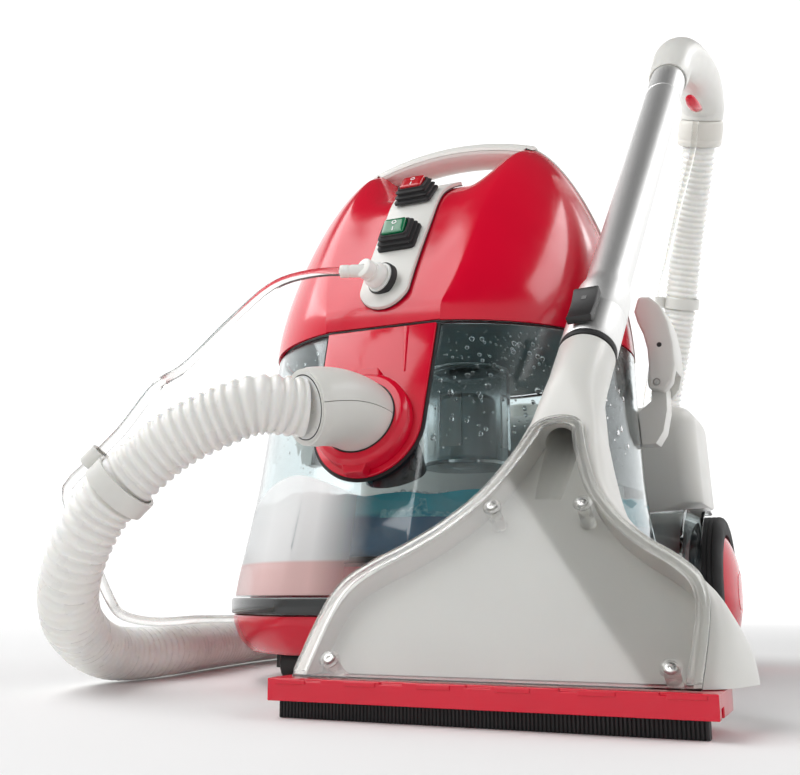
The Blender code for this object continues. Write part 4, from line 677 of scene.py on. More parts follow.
def clip_eye(points, index, degrees):
    """Middle of a clip's eye, square to the straight piece of hose it sits on."""
    axis = (points[index + 1] - points[index]).normalized()
    centre = (points[index] + points[index + 1]) / 2
    outward = beside_hose(points, index + 0.5, degrees) - centre
    outward = (outward - axis * outward.dot(axis)).normalized()
    return centre + outward * TUBE_OFFSET


def front_tube_route(points, clip):
    """Route of the tube from the connector down to the front clip's eye."""
    _, outlet = connector_outlet()
    axis = (points[clip + 1] - points[clip]).normalized()
    eye = clip_eye(points, clip, FRONT_EYE)
    return [
        outlet + CONNECTOR_EXIT * 0.0003, outlet + CONNECTOR_EXIT * 0.0140,
        (-0.0560, -0.0500, 0.2700), (-0.0760, -0.0680, 0.2440), (-0.0980, -0.0900, 0.2080),
        beside_hose(points, clip - 1.2, FRONT_EYE, 0.0360), eye - axis * 0.0240,
        eye - axis * 0.0120,
    ]


def rear_tube_route(points, front_clip, rear_clip):
    """Route of the tube from the front clip along the hose to the valve in the grip."""
    last = len(points) - 1
    axis = (points[front_clip + 1] - points[front_clip]).normalized()
    eye = clip_eye(points, front_clip, FRONT_EYE)
    route = [eye, eye + axis * 0.0120, eye + axis * 0.0240]
    for position, degrees in ((front_clip + 2.2, 78), (front_clip + 3.4, 55),
                              (front_clip + 4.6, 45), (front_clip + 5.8, 50),
                              (front_clip + 8.0, 60)):
        route.append(beside_hose(points, position, degrees))
    for position in range(front_clip + 10, rear_clip - 1, 2):
        share = (position - front_clip - 10) / (rear_clip - front_clip - 10)
        route.append(beside_hose(points, position, 60 + (REAR_EYE - 60) * share))
    axis = (points[rear_clip + 1] - points[rear_clip]).normalized()
    eye = clip_eye(points, rear_clip, REAR_EYE)
    route.extend([eye - axis * 0.0210, eye, eye + axis * 0.0210])
    for position in range(rear_clip + 2, last - 1, 2):
        share = (position - rear_clip) / (last - rear_clip)
        route.append(beside_hose(points, position, REAR_EYE + (VALVE_SIDE - REAR_EYE) * share))
    outward = beside_hose(points, last - 0.5, VALVE_SIDE) - points[-1]
    outward = (outward - CUFF_AXIS * outward.dot(CUFF_AXIS)).normalized() * 0.0300
    route.extend([points[-1] + outward, CUFF_START + CUFF_AXIS * 0.0120 + outward,
                  CUFF_START + outward])
    return route


def line_length(points):
    """Length of a polyline."""
    return sum((q - p).length for p, q in zip(points, points[1:]))


CORRUGATION = 0.0066                   # pitch of the hose's helical rib
RIB_DEPTH = 0.0019


def hose_profile(phase):
    """Depth of the hose's wall below its crest over one pitch: a broad rib, a narrow groove."""
    return RIB_DEPTH * (0.5 + 0.5 * math.cos(2 * math.pi * phase)) ** 1.6


def corrugated_hose(coarse):
    """The hose's wall: a helical rib wound along the route, fading out towards its capped ends."""
    sides = 40
    line = smooth_route(coarse, CORRUGATION / 7)
    frames = path_frames(line)
    total = line_length(line)
    verts = []
    walked = 0.0
    for i, (point, side, up) in enumerate(frames):
        walked += (point - frames[i - 1][0]).length if i else 0.0
        fade = min(walked / 0.006, (total - walked) / 0.006, 1.0)
        for k in range(sides):
            angle = 2 * math.pi * k / sides
            depth = hose_profile(walked / CORRUGATION - k / sides) * fade
            radius = HOSE_R - 0.0003 - depth
            verts.append(point + side * (math.cos(angle) * radius)
                         + up * (math.sin(angle) * radius))
    faces = ring_faces(sides, len(frames), caps=True)
    hose = from_parts("suction_hose", verts, faces, VINYL, 80.0)
    return stand_in(hose, "vacuum_hose"), line


def tube_curve(line):
    """The clear solution tube as one round curve."""
    curve = bpy.data.curves.new("solution_tube", "CURVE")
    curve.dimensions = "3D"
    curve.bevel_depth = TUBE_R
    curve.bevel_resolution = 4
    curve.use_fill_caps = True
    spline = curve.splines.new("POLY")
    spline.points.add(len(line) - 1)
    for item, point in zip(spline.points, line):
        item.co = (*(point + OFFSET), 1.0)
    curve.materials.append(TUBE_CLEAR)
    obj = bpy.data.objects.new("solution_tube", curve)
    scene.collection.objects.link(obj)
    return stand_in(obj, "solution_tube_front", "solution_tube_rear")


def add_cords():
    """The suction hose and the clear tube that runs along it."""
    coarse = smooth_route(hose_route(), HOSE_STEP)
    front_clip = nearest_piece(coarse, FRONT_CLIP_NEAR)
    rear_clip = nearest_piece(coarse, REAR_CLIP_NEAR)
    clips = [refined(node, GREY, 0.0006) for node in ("hose_clip_front", "hose_clip_rear")]
    hose, line = corrugated_hose(coarse)
    route = front_tube_route(coarse, front_clip) + rear_tube_route(coarse, front_clip, rear_clip)
    tube_line = smooth_route(route, 0.0080)
    tube = tube_curve(tube_line)


add_cords()


# ---------------------------------------------------------------- tank and base
def plan_point(angle, half_width, front, rear):
    """A point of a section that has two half ellipses, the front one cut flat."""
    flat = FRONT_FLAT_HALF / half_width
    nose = (PLAN_CENTRE_Y - front) / math.sqrt(1.0 - flat * flat)
    depth = rear - PLAN_CENTRE_Y if math.sin(angle) > 0 else nose
    return half_width * math.cos(angle), max(PLAN_CENTRE_Y + depth * math.sin(angle), front)


def plan_ring(height, half_width, front, inset=0.0, points=144):
    """One horizontal section of the tank or the base."""
    sizes = (half_width - inset, front + inset, TANK_REAR_Y - inset)
    angles = (2 * math.pi * (i + 0.5) / points for i in range(points))
    return [Vector((*plan_point(angle, *sizes), height)) for angle in angles]


def tank_ring(height, inset=0.0):
    """The tank wall's section at a height."""
    return plan_ring(height, *interpolate(TANK_SECTIONS, height), inset)


def base_ring(height, inset):
    """One section of the base, whose plan is the tank's at its foot."""
    return plan_ring(height, BASE_HALF, BASE_FRONT_Y, inset)


def levels(low, high, count):
    """Evenly spaced heights with both ends."""
    return [low + (high - low) * i / (count - 1) for i in range(count)]


def recovery_tank():
    """Smoked clear tank: an open bowl on a skirt, with the inlet hole in its front."""
    outside = [tank_ring(z) for z in levels(TANK_BOTTOM_Z, TANK_TOP_Z, 18)]
    inside = [tank_ring(z, TANK_WALL) for z in levels(TANK_TOP_Z, TANK_FLOOR_Z + 0.004, 16)]
    inside += [tank_ring(TANK_FLOOR_Z + 0.001, TANK_WALL + 0.001),
               tank_ring(TANK_FLOOR_Z, TANK_WALL + 0.004)]
    skirt = [tank_ring(TANK_FLOOR_Z - TANK_WALL, TANK_WALL), tank_ring(TANK_BOTTOM_Z, TANK_WALL)]
    tank = loft("tank_wall", skirt + outside + inside, SMOKED)
    cut(tank, inlet_cutter("inlet_cutter"))
    stand_in(tank, "recovery_tank")


def inlet_cutter(name, radius=INLET_HOLE_R):
    """A cylinder through the tank's front wall and the panel on it."""
    return rod(name, INLET - INLET_NORMAL * 0.02, INLET + INLET_NORMAL * 0.02, radius, None, 64)


def in_tank(piece):
    """Let a clear or wet piece ride with the tank."""
    enlist(piece, "machine")


WATER_Z = 0.1215
WATER_GAP = 0.6 * MM                   # between the water and the tank's wall
DROPS_INSIDE, DROPS_OUTSIDE, BUBBLES = 620, 90, 420


def water_surface(x, y):
    """Height of the disturbed water's surface."""
    here = Vector((x * 22.0, y * 22.0, 3.0))
    lift = 0.0035 * noise.noise(here) + 0.0018 * noise.noise(here * 2.7)
    edge = smoothstep(0.085, 0.140, math.hypot(x, (y - 0.12)))
    return WATER_Z + lift + 0.0065 * edge * (0.6 + noise.noise(here * 1.3 + Vector((9, 2, 5))))


def tank_water():
    """Blue water in the tank, closed by its wavy surface."""
    rings = [tank_ring(TANK_FLOOR_Z + 0.0006, TANK_WALL + 0.0050)]
    inset = TANK_WALL + WATER_GAP
    rings += [tank_ring(z, inset) for z in levels(TANK_FLOOR_Z + 0.005, 0.1100, 8)]
    top = tank_ring(WATER_Z, inset)
    centre = Vector((0.0, 0.120, WATER_Z))
    for k in range(25):
        ring = [p.lerp(centre, 0.04 * k) for p in top]
        rings.append([Vector((p.x, p.y, water_surface(p.x, p.y))) for p in ring])
    in_tank(loft("tank_water", rings, WATER, angle=60.0))


def surface_drop(verts, faces, centre, normal, radius, height):
    """Add one low dome of water that clings to a wall."""
    side = normal.cross(Vector((0.0, 0.0, 1.0))).normalized()
    up = side.cross(normal)
    first = len(verts)
    rows, steps = 4, 10
    for row in range(rows):
        polar = math.pi / 2 * row / rows
        for i in range(steps):
            angle = 2 * math.pi * i / steps
            sag = 1.0 + 0.35 * max(0.0, -math.sin(angle))
            verts.append(centre + (side * math.cos(angle) + up * (math.sin(angle) * sag))
                         * (radius * math.cos(polar)) + normal * (height * math.sin(polar)))
    verts.append(centre + normal * height)
    faces.extend(ring_faces(steps, rows, caps=False, first=first))
    faces.append(tuple(first + i for i in reversed(range(steps))))
    last = first + (rows - 1) * steps
    faces.extend((last + i, last + (i + 1) % steps, len(verts) - 1) for i in range(steps))


def wall_place(angle, height, inset):
    """A point on the tank's wall at an angle round it, and the way out."""
    def at(a, z):
        return Vector((*plan_point(a, *interpolate(TANK_SECTIONS, z), TANK_REAR_Y), z))
    here = at(angle, height)
    along = at(angle + 0.01, height) - here
    rise = at(angle, height + 0.001) - here
    normal = along.cross(rise).normalized()
    return here - normal * inset, normal


def wall_angle(share, right, left):
    """A random angle on the tank's right side, or else on its left."""
    return math.radians(random.uniform(*(right if random.random() < share else left)))


def condensation():
    """Drops of many sizes on both faces of the tank's wall, thickest near its top."""
    random.seed(11)
    verts, faces = [], []
    for _ in range(DROPS_INSIDE):
        angle = wall_angle(0.75, (-78.0, 5.0), (175.0, 262.0))
        height = 0.150 + 0.090 * random.random() ** 0.6
        point, normal = wall_place(angle, height, TANK_WALL + 0.00002)
        if abs(point.x) < BIB_HALF_TOP + 0.003 and point.y < 0.05:
            continue
        radius = 0.0004 + 0.0014 * random.random() ** 4
        surface_drop(verts, faces, point, -normal, radius, radius * 0.55)
    for _ in range(DROPS_OUTSIDE):
        angle = math.radians(random.uniform(-75.0, -10.0))
        point, normal = wall_place(angle, random.uniform(0.150, 0.238), -0.00002)
        radius = 0.0007 + 0.0016 * random.random() ** 3
        surface_drop(verts, faces, point, normal, radius, radius * 0.5)
    in_tank(from_parts("condensation", verts, faces, DROP, 80.0))


def foam():
    """Small bubbles along the water's edge."""
    random.seed(4)
    verts, faces = [], []
    upright = Vector((0.02, 0.0, 1.0)).normalized()
    for _ in range(BUBBLES):
        angle = wall_angle(0.7, (-85.0, 20.0), (170.0, 265.0))
        point = wall_place(angle, WATER_Z, TANK_WALL + 0.0035 + 0.010 * random.random())[0]
        point.z = water_surface(point.x, point.y) + 0.0002
        radius = 0.0006 + 0.0013 * random.random() ** 2
        surface_drop(verts, faces, point, upright, radius, radius)
    in_tank(from_parts("foam", verts, faces, FOAM, 80.0))


def wall_liner(name, degrees, low, top, thickness, material):
    """A layer on the inside of the tank's wall, up to a height that varies round it."""
    rings = []
    for turn in levels(*degrees, 73):
        angle = math.radians(turn)
        heights = levels(low, top(angle), 10)
        faces = [[wall_place(angle, z, TANK_WALL + 0.0002 + depth)[0] for z in heights]
                 for depth in (0.0, thickness)]
        rings.append(faces[0] + faces[1][::-1])
    in_tank(loft(name, rings, material))


def foam_top(angle):
    """Upper edge of the foam, which climbs the right side of the tank."""
    ripple = noise.noise(Vector((angle * 9.0, 1.7, 0.4)))
    return 0.1212 + 0.0016 * ripple + (0.0085 + 0.0040 * ripple) * smoothstep(-0.75, -0.20, angle)


def front_print():
    """Frosted white print on the tank's front, fading to both sides below a wave."""
    rows = [[wall_place(math.radians(degrees), height, -0.00012)[0]
             for degrees in levels(-172.0, -52.0, 61)] for height in levels(0.0605, 0.148, 41)]
    in_tank(loft("front_print", rows, PRINT, closed=False, angle=60.0))


def tank_band():
    """Dark band with a rounded face."""
    profile = [(0.0481, 0.0100), (0.0481, -0.0012), (0.0486, -0.0019), (0.0496, -0.0024),
               (0.0576, -0.0024), (0.0586, -0.0019), (0.0591, -0.0012), (0.0591, 0.0100)]
    band = loft("dark_band", [base_ring(*row) for row in profile], DARK_SMOKE, loop=True)
    stand_in(band, "tank_band")


def base_pan():
    """Red base with a softly rolled skirt below the band."""
    refined("base_pan", RED_SATIN, 0.0006)
    rows = [(0.0470, -0.0003), (0.0440, -0.0006), (0.0400, 0.0004), (0.0360, 0.0020),
            (0.0325, 0.0038), (0.0296, 0.0056), (0.0270, 0.0079), (0.0246, 0.0105),
            (0.0228, 0.0128), (0.0226, 0.0150), (0.0240, 0.0158), (0.0300, 0.0112),
            (0.0400, 0.0060), (0.0470, 0.0040)]
    skirt = loft("base_skirt", [base_ring(*row) for row in rows], RED, loop=True)
    enlist(skirt, "machine")


# ---------------------------------------------------------------- inlet
def bib_frame():
    """Frame on the front panel's back face, +Y up the slope and +Z outwards."""
    x_axis = Vector((1.0, 0.0, 0.0))
    return axes_matrix(INLET - INLET_NORMAL * BIB_THICK, x_axis, INLET_NORMAL.cross(x_axis),
                       INLET_NORMAL)


def bib_outline(grow=0.0, steps=48):
    """Outline of the front panel, from its top right corner round its foot."""
    top = (BIB_TOP_Z - INLET_Z) / math.cos(BIB_SLOPE) - 0.001
    middle = (BIB_ROUND_Z - INLET_Z) / math.cos(BIB_SLOPE)
    outline = [(BIB_HALF_TOP + grow, top), (-BIB_HALF_TOP - grow, top)]
    for i in range(steps + 1):
        angle = math.pi + math.pi * i / steps
        outline.append(((BIB_HALF + grow) * math.cos(angle),
                        middle + (BIB_HALF + grow) * math.sin(angle)))
    return outline


def inlet_bib():
    """Red front panel with a fold down its right side, on a black gasket."""
    panel = plate("front_panel", bib_outline(), 0.0012, BIB_THICK, bib_frame(), RED)
    soften(panel, 0.0007, 3)
    cut(panel, inlet_cutter("bib_cutter"))
    stand_in(panel, "inlet_bib")
    top = bib_outline()[0][1]
    fold = []
    for t in levels(0.0, 1.0, 24):
        x = 0.0190 + 0.0035 * t
        y = top - 0.0010 - 0.0360 * t
        width = 0.0016 * (1.0 - 0.6 * t)
        row = [(-width, -0.0001), (-width * 0.5, 0.0005), (0.0, 0.0007), (width * 1.6, 0.0001),
               (width * 1.7, -0.0001)]
        fold.append([bib_frame() @ Vector((x + dx, y, BIB_THICK + dz)) for dx, dz in row])
    enlist(loft("panel_fold", fold, RED, angle=60.0), "machine")
    gasket = plate("panel_gasket", bib_outline(0.0021), 0.0002, 0.0014, bib_frame(), RUBBER)
    cut(gasket, inlet_cutter("gasket_cutter", INLET_HOLE_R + 0.0003))
    enlist(gasket, "machine")


def inlet_collar():
    """Red bayonet ring round the inlet, with a tab above and a tab below."""
    profile = [(0.0262, 0.0125), (0.0304, 0.0125), (0.0311, 0.0122), (0.0316, 0.0114),
               (0.0333, 0.0102), (0.0339, 0.0090), (0.0340, GAP), (0.0262, GAP)]
    collar = turned("inlet_ring", profile, RED, INLET, INLET_NORMAL, 96)
    stand_in(collar, "inlet_collar")
    raised = Matrix.Translation(INLET_NORMAL * (BIB_THICK + 0.0006)) @ bib_frame()
    for end, name in ((-1, "lower"), (1, "upper")):
        outline = [(-0.0092, end * 0.0300), (0.0092, end * 0.0300), (0.0072, end * 0.0384),
                   (-0.0072, end * 0.0384)]
        tab = soften(plate(f"bayonet_tab_{name}", outline, 0.0, 0.0088, raised, RED), 0.0009, 3)
        enlist(tab, "machine")


def inlet_elbow():
    """Two light grey half shells that meet along a level seam, with a dark hose mouth."""
    frames = path_frames(elbow_path(0.0022))
    gap_angle = math.asin(GAP / 2 / ELBOW_IN_R)
    sweep = math.pi - 2 * gap_angle
    last = len(frames) - 1
    for name, node, start in (("elbow_upper", "inlet_elbow_upper", 0.0),
                              ("elbow_lower", "inlet_elbow_lower", math.pi)):
        rings = []
        for i, place in enumerate(frames):
            lip = 0.0010 * smoothstep(0.90, 1.0, i / last)
            outer = ELBOW_OUT_R - lip
            rings.append(ring_at(place, outer, outer, 40, start + gap_angle, sweep)
                         + ring_at(place, ELBOW_IN_R, ELBOW_IN_R, 40, start + gap_angle,
                                   sweep)[::-1])
        half = loft(name, rings, GREY)
        if start:
            place = frames[round(last * 0.18)]
            side = (place[1] * 0.90 - place[2] * 0.62).normalized()
            base = place[0] + side * ELBOW_OUT_R
            cut(half, rod("screw_cutter", base - side * 0.0016, base + side * 0.004, 0.0019,
                          None, 20))
        stand_in(half, node)
    point = frames[-1][0]
    ahead = (frames[-1][0] - frames[-2][0]).normalized()
    for name, inner, outer, far, material, slot in (
            ("elbow_mouth_lip", 0.0206, 0.0221, 0.0004, GREY, "light_grey_plastic"),
            ("elbow_mouth_seal", 0.0199, 0.0205, 0.0006, RUBBER, "black_rubber"),
            ("elbow_mouth_sleeve", 0.0010, 0.0198, 0.0005, VINYL, "hose_vinyl")):
        profile = [(inner, -0.0020), (outer, -0.0020), (outer, far), (inner, far)]
        enlist(turned(name, profile, material, point, ahead, 64), "machine")
    profile = [(ELBOW_OUT_R + 0.0002, 0.0008), (0.0260, 0.0008), (0.0260, 0.0128),
               (ELBOW_OUT_R + 0.0002, 0.0128)]
    enlist(turned("elbow_root_seal", profile, RUBBER, INLET, INLET_NORMAL, 72), "machine")


# ---------------------------------------------------------------- motor head
FRONT_STATIONS = [
    (0.0000, 0.0445, 0.2466, 0.2466), (0.0004, 0.0447, 0.2560, 0.2560),
    (0.0040, 0.0460, 0.2650, 0.2665),
    (0.0140, 0.0510, 0.2840, 0.2850), (0.0290, 0.0550, 0.3100, 0.3090),
    (0.0470, 0.0575, 0.3390, 0.3360), (0.0650, 0.0600, 0.3640, 0.3620),
    (0.0860, 0.0630, 0.3880, 0.3780), (0.1120, 0.0655, 0.4110, 0.3910),
    (0.1300, 0.0670, 0.4220, 0.3955), (0.1455, 0.0680, 0.4290, 0.3980),
]
REAR_STATIONS = [
    (0.1462, 0.0680, 0.4305, 0.4000), (0.1650, 0.0670, 0.4290, 0.4005),
    (0.1900, 0.0650, 0.4200, 0.3990), (0.2200, 0.0620, 0.3960, 0.3890),
    (0.2450, 0.0580, 0.3600, 0.3600), (0.2650, 0.0530, 0.3200, 0.3200),
    (0.2800, 0.0450, 0.2800, 0.2800), (0.2870, 0.0350, 0.2560, 0.2560),
]
SPLIT_SLANT = 0.040
SHOULDER_POWER = 1.55                  # 2 is an ellipse, and less is flatter


def rim_half_width(y, swell):
    """Half width of the head's rim at a distance from the front."""
    flat = FRONT_FLAT_HALF / RIM_HALF
    depth = PLAN_CENTRE_Y / math.sqrt(1.0 - flat * flat) if y < PLAN_CENTRE_Y \
        else PLAN_REAR_Y - PLAN_CENTRE_Y + swell
    ratio = min(abs(y - PLAN_CENTRE_Y) / depth, 1.0)
    return (RIM_HALF + swell) * math.sqrt(1.0 - ratio * ratio)


def head_section(station, slant, swell=0.0, side_steps=30, valley_steps=36):
    """One cross-section of the head, from the left rim over both ridges to the right."""
    y0, ridge_x, ridge_z, valley_z = station
    right = []
    for i in range(side_steps + 1):
        angle = math.pi / 2 * i / side_steps
        across = max(math.cos(angle), 0.0) ** (2 / SHOULDER_POWER)
        upward = max(math.sin(angle), 0.0) ** (2 / SHOULDER_POWER)
        y = y0 + slant * (1.0 - upward)
        width = max(rim_half_width(y, swell), ridge_x * 0.98)
        right.append(Vector((ridge_x + (width - ridge_x) * across, y,
                             RIM_Z + (ridge_z - RIM_Z) * upward)))
    middle = []
    for i in range(1, valley_steps):
        x = 1.0 - 2.0 * i / valley_steps
        rise = smoothstep(0.50, 1.00, abs(x))
        middle.append(Vector((ridge_x * x, y0, valley_z + (ridge_z - valley_z) * rise)))
    left = [Vector((-p.x, p.y, p.z)) for p in reversed(right)]
    return right + middle + left


def finer(stations, parts):
    """More stations, smoothly between the given ones."""
    rows = []
    for low, high in zip(stations, stations[1:]):
        steps = parts if high[0] - low[0] > 0.002 else 1
        for k in range(steps):
            y = low[0] + (high[0] - low[0]) * k / steps
            rows.append((y, *interpolate(stations, y)))
    return rows + [stations[-1]]


def head_wall(name, rows, end_y, material):
    """A wall between a grid of points and the same grid drawn in towards the middle."""
    split_y = FRONT_STATIONS[-1][0]
    shrink = 1.0 - HEAD_WALL / RIM_HALF
    pull = 1.0 - HEAD_WALL / abs(end_y - split_y)
    inner = [[Vector((p.x * shrink, split_y + (p.y - split_y) * pull,
                      RIM_Z + (p.z - RIM_Z) * shrink)) for p in row] for row in rows]
    loops = [row + drawn_in[::-1] for row, drawn_in in zip(rows, inner)]
    count = len(rows[0])
    faces = ring_faces(2 * count, len(loops), caps=False)
    for first in (0, (len(loops) - 1) * 2 * count):
        for i in range(count - 1):
            faces.append(tuple(first + k for k in (i, i + 1, 2 * count - 2 - i,
                                                   2 * count - 1 - i)))
    return from_parts(name, [p for loop in loops for p in loop], faces, material, 28.0)


def head_shells():
    """Red front shell with its two shoulders, and the grey rear shell behind them."""
    rows = []
    for station in finer(FRONT_STATIONS, 5):
        slant = SPLIT_SLANT * (station[0] / FRONT_STATIONS[-1][0]) ** 2
        rows.append(head_section(station, slant))
    stand_in(head_wall("red_shell", rows, FRONT_STATIONS[0][0], RED), "head_shell_front")
    first, last = REAR_STATIONS[0][0], REAR_STATIONS[-1][0]
    rows = []
    for station in finer(REAR_STATIONS, 5):
        slant = SPLIT_SLANT * (last - station[0]) / (last - first)
        rows.append(head_section(station, slant, REAR_SWELL))
    stand_in(head_wall("rear_shell", rows, REAR_STATIONS[-1][0], GREY), "head_shell_rear")


PANEL_STATIONS = [
    (0.0006, 0.0027), (0.0010, 0.0066), (0.0017, 0.0105), (0.0028, 0.0142), (0.0042, 0.0168),
    (0.0065, 0.0187), (0.0095, 0.0190), (0.0150, 0.0191), (0.0210, 0.0192), (0.0320, 0.0194),
    (0.0430, 0.0196), (0.0540, 0.0198), (0.0640, 0.0200), (0.0740, 0.0201), (0.0860, 0.0203),
    (0.0980, 0.0204), (0.1080, 0.0205), (0.1110, 0.0205),
]


def panel_strip(name, low_rise, high_rise, margin, round_over, material):
    """A strip along the panel's middle line with rounded upper edges."""
    rings = []
    for y, half in finer(PANEL_STATIONS, 4):
        low, high = valley_point(y, low_rise), valley_point(y, high_rise)
        shoulder = valley_point(y, high_rise - round_over)
        wide = half + margin
        row = [low - Vector((wide, 0, 0)), low + Vector((wide, 0, 0)),
               shoulder + Vector((wide, 0, 0))]
        row += [shoulder.lerp(high, math.sin(math.pi / 2 * k / 3))
                + Vector((wide - round_over * (1 - math.cos(math.pi / 2 * k / 3)), 0, 0))
                for k in (1, 2, 3)]
        mirrored = [Vector((-p.x, p.y, p.z)) for p in reversed(row[2:])]
        rings.append(row + [high] + mirrored)
    return loft(name, rings, material, angle=50.0)


def control_panel():
    """Light grey strip with rounded edges in a thin dark joint."""
    stand_in(panel_strip("grey_panel", 0.0016, 0.0046, 0.0, 0.0012, GREY), "control_panel")
    joint = panel_strip("panel_joint", 0.0008, 0.0017, 0.0003, 0.0002, GASKET)
    enlist(joint, "head")


def handle():
    """Light grey arched handle in two halves with a fine parting line."""
    for half in ("upper", "lower"):
        refined(f"carry_handle_{half}", GREY)


POWER_SWITCH = (0.0670, math.radians(44))
PUMP_SWITCH = (0.0355, math.radians(57))
ROCKER_TILT = math.radians(7)
ROCKER_PIVOT = 0.0060


def switch_frame(y, tilt):
    """Frame on the control panel for a rocker switch."""
    normal = Vector((0.0, -math.sin(tilt), math.cos(tilt)))
    x_axis = Vector((1.0, 0.0, 0.0))
    return axes_matrix(valley_point(y, 0.0050), x_axis, normal.cross(x_axis), normal)


def rounded_rectangle(place, half_x, half_y, height, radius=0.003, steps=6):
    """A ring round a rectangle in a frame, at a height above it."""
    ring = []
    for corner, (sx, sy) in enumerate(((1, 1), (-1, 1), (-1, -1), (1, -1))):
        for i in range(steps):
            angle = math.pi / 2 * (corner + i / (steps - 1))
            ring.append(place @ Vector((sx * (half_x - radius) + radius * math.cos(angle),
                                        sy * (half_y - radius) + radius * math.sin(angle),
                                        height)))
    return ring


def switch(name, place, lens):
    """Rocker in its ribbed boot, with a circle above a bar on the rocker's face."""
    base = switch_frame(*place)
    outer = [(0.0150, 0.0140, 0.0), (0.0150, 0.0140, 0.0017), (0.0147, 0.0137, 0.0021),
             (0.0131, 0.0121, 0.0029), (0.0130, 0.0120, 0.0033), (0.0139, 0.0129, 0.0045),
             (0.0140, 0.0130, 0.0051), (0.0136, 0.0126, 0.0055), (0.0118, 0.0108, 0.0063),
             (0.0117, 0.0107, 0.0068), (0.0125, 0.0115, 0.0082), (0.0126, 0.0116, 0.0087),
             (0.0122, 0.0112, 0.0091), (0.0109, 0.0099, 0.0099), (0.0107, 0.0097, 0.0112)]
    inner = [(0.0096, 0.0088, 0.0112), (0.0094, 0.0087, 0.0)]
    rings = [rounded_rectangle(base, *row) for row in outer + inner]
    stand_in(loft(f"{name}_bellows", rings, RUBBER, loop=True), f"{name}_boot")
    pivot = Vector((0.0, 0.0, ROCKER_PIVOT))
    tilted = (base @ Matrix.Translation(pivot) @ Matrix.Rotation(ROCKER_TILT, 4, "X")
              @ Matrix.Translation(-pivot))
    rows = [(0.0078, 0.0066, 0.0020), (0.0084, 0.0072, 0.0060), (0.0086, 0.0074, 0.0126),
            (0.0085, 0.0073, 0.0132), (0.0081, 0.0069, 0.0136)]
    body = [rounded_rectangle(tilted, *row, 0.0012) for row in rows]
    centre = tilted @ Vector((0.0, 0.0, 0.0133))
    body += [[centre.lerp(p, share) for p in body[-1]] for share in (0.6, 0.25, 0.02)]
    stand_in(loft(f"{name}_key", body, lens, angle=50.0), f"{name}_rocker")
    circle = ring_band(f"{name}_mark_off", tilted @ Matrix.Translation((0.0, 0.0034, 0.01335)),
                       0.0019, 0.0012, 0.0004)
    bar = plate(f"{name}_mark_on", [(-0.0004, -0.0019), (0.0004, -0.0019), (0.0004, 0.0019),
                                    (-0.0004, 0.0019)], -0.0002, 0.00035,
                tilted @ Matrix.Translation((0.0, -0.0034, 0.01335)), MARK)
    for mark in (circle, bar):
        enlist(mark, BODY_OF[f"{name}_rocker"])


def ring_band(name, place, outer, inner, height):
    """A flat ring, a printed circle, in a frame's plane."""
    profile = ((outer, -0.0002), (outer, height), (inner, height), (inner, -0.0002))
    return loft(name, [round_ring(place, *row, 24) for row in profile], MARK, loop=True)


def connector():
    """White quick connector with its collars, screw head and spout, in its black socket."""
    point = valley_point(SOCKET_Y, 0.0050)
    stand_in(turned("socket_ring", [(0.0112, 0.0052), (0.0119, 0.0054), (0.0122, 0.0050),
                                    (0.0123, 0.0028), (0.0123, 0.0004), (0.0112, 0.0004)],
                    RUBBER, point, SOCKET_AXIS, 64), "outlet_socket")
    enlist(turned("socket_sleeve", [(0.0096, 0.0066), (0.0106, 0.0066), (0.0110, 0.0060),
                                    (0.0110, 0.0004), (0.0096, 0.0004)], WHITE, point,
                  SOCKET_AXIS, 64), "head")
    profile = [(0.0, 0.0222), (0.0022, 0.0222), (0.0026, 0.0230), (0.0058, 0.0230),
               (0.0068, 0.0224), (0.0072, 0.0214), (0.0072, 0.0176), (0.0066, 0.0172),
               (0.0066, 0.0160), (0.0072, 0.0156), (0.0073, 0.0136), (0.0088, 0.0126),
               (0.0094, 0.0116), (0.0094, 0.0082), (0.0088, 0.0078), (0.0088, 0.0066),
               (0.0094, 0.0062), (0.0094, 0.0006), (0.0, 0.0006)]
    body = turned("connector_body", profile, WHITE, point, SOCKET_AXIS, 48)
    stand_in(body, "quick_connector")
    start, end = connector_outlet()
    barb = [(0.0, 0.0), (0.0046, 0.0), (0.0046, 0.0120), (0.0043, 0.0124), (0.0043, 0.0140),
            (0.0046, 0.0144), (0.0046, 0.0192), (0.0042, 0.0200), (0.0, 0.0200)]
    enlist(turned("connector_spout", barb, WHITE, start, end - start, 32), "head")


# ---------------------------------------------------------------- wand
WAND_FOOT = Vector((0.1250, -0.1570, 0.0))
WAND_TOP = Vector((0.1666, 0.2640, 0.5251))
WAND_AXIS = (WAND_TOP - WAND_FOOT).normalized()
WAND_SIDE = Vector((1.0, 0.0, 0.0)).cross(WAND_AXIS).cross(WAND_AXIS).normalized() * -1.0
WAND_FRONT = WAND_SIDE.cross(WAND_AXIS)
WAND_TUBE_R = 0.0158
WAND_BORE_R = 0.0138
NECK_END = 0.2745
BELL_START = 0.2795
BELL_END = 0.3370
SPIGOT_END = 0.2350
TUBE_END = 0.7000
GRIP_START = 0.6840
LOCK_BUTTON_AT = 0.2988
BUTTON_TILT = math.radians(5)
BUTTON_HALF = 0.0162
NECK_R = 0.0188
BELL_R = 0.0193
NECK_BORE_R = 0.0161
SPIGOT_R = 0.0152


def wand_point(distance, side=0.0, front=0.0):
    """A point on the wand's axis, or beside it."""
    return WAND_FOOT + WAND_AXIS * distance + WAND_SIDE * side + WAND_FRONT * front


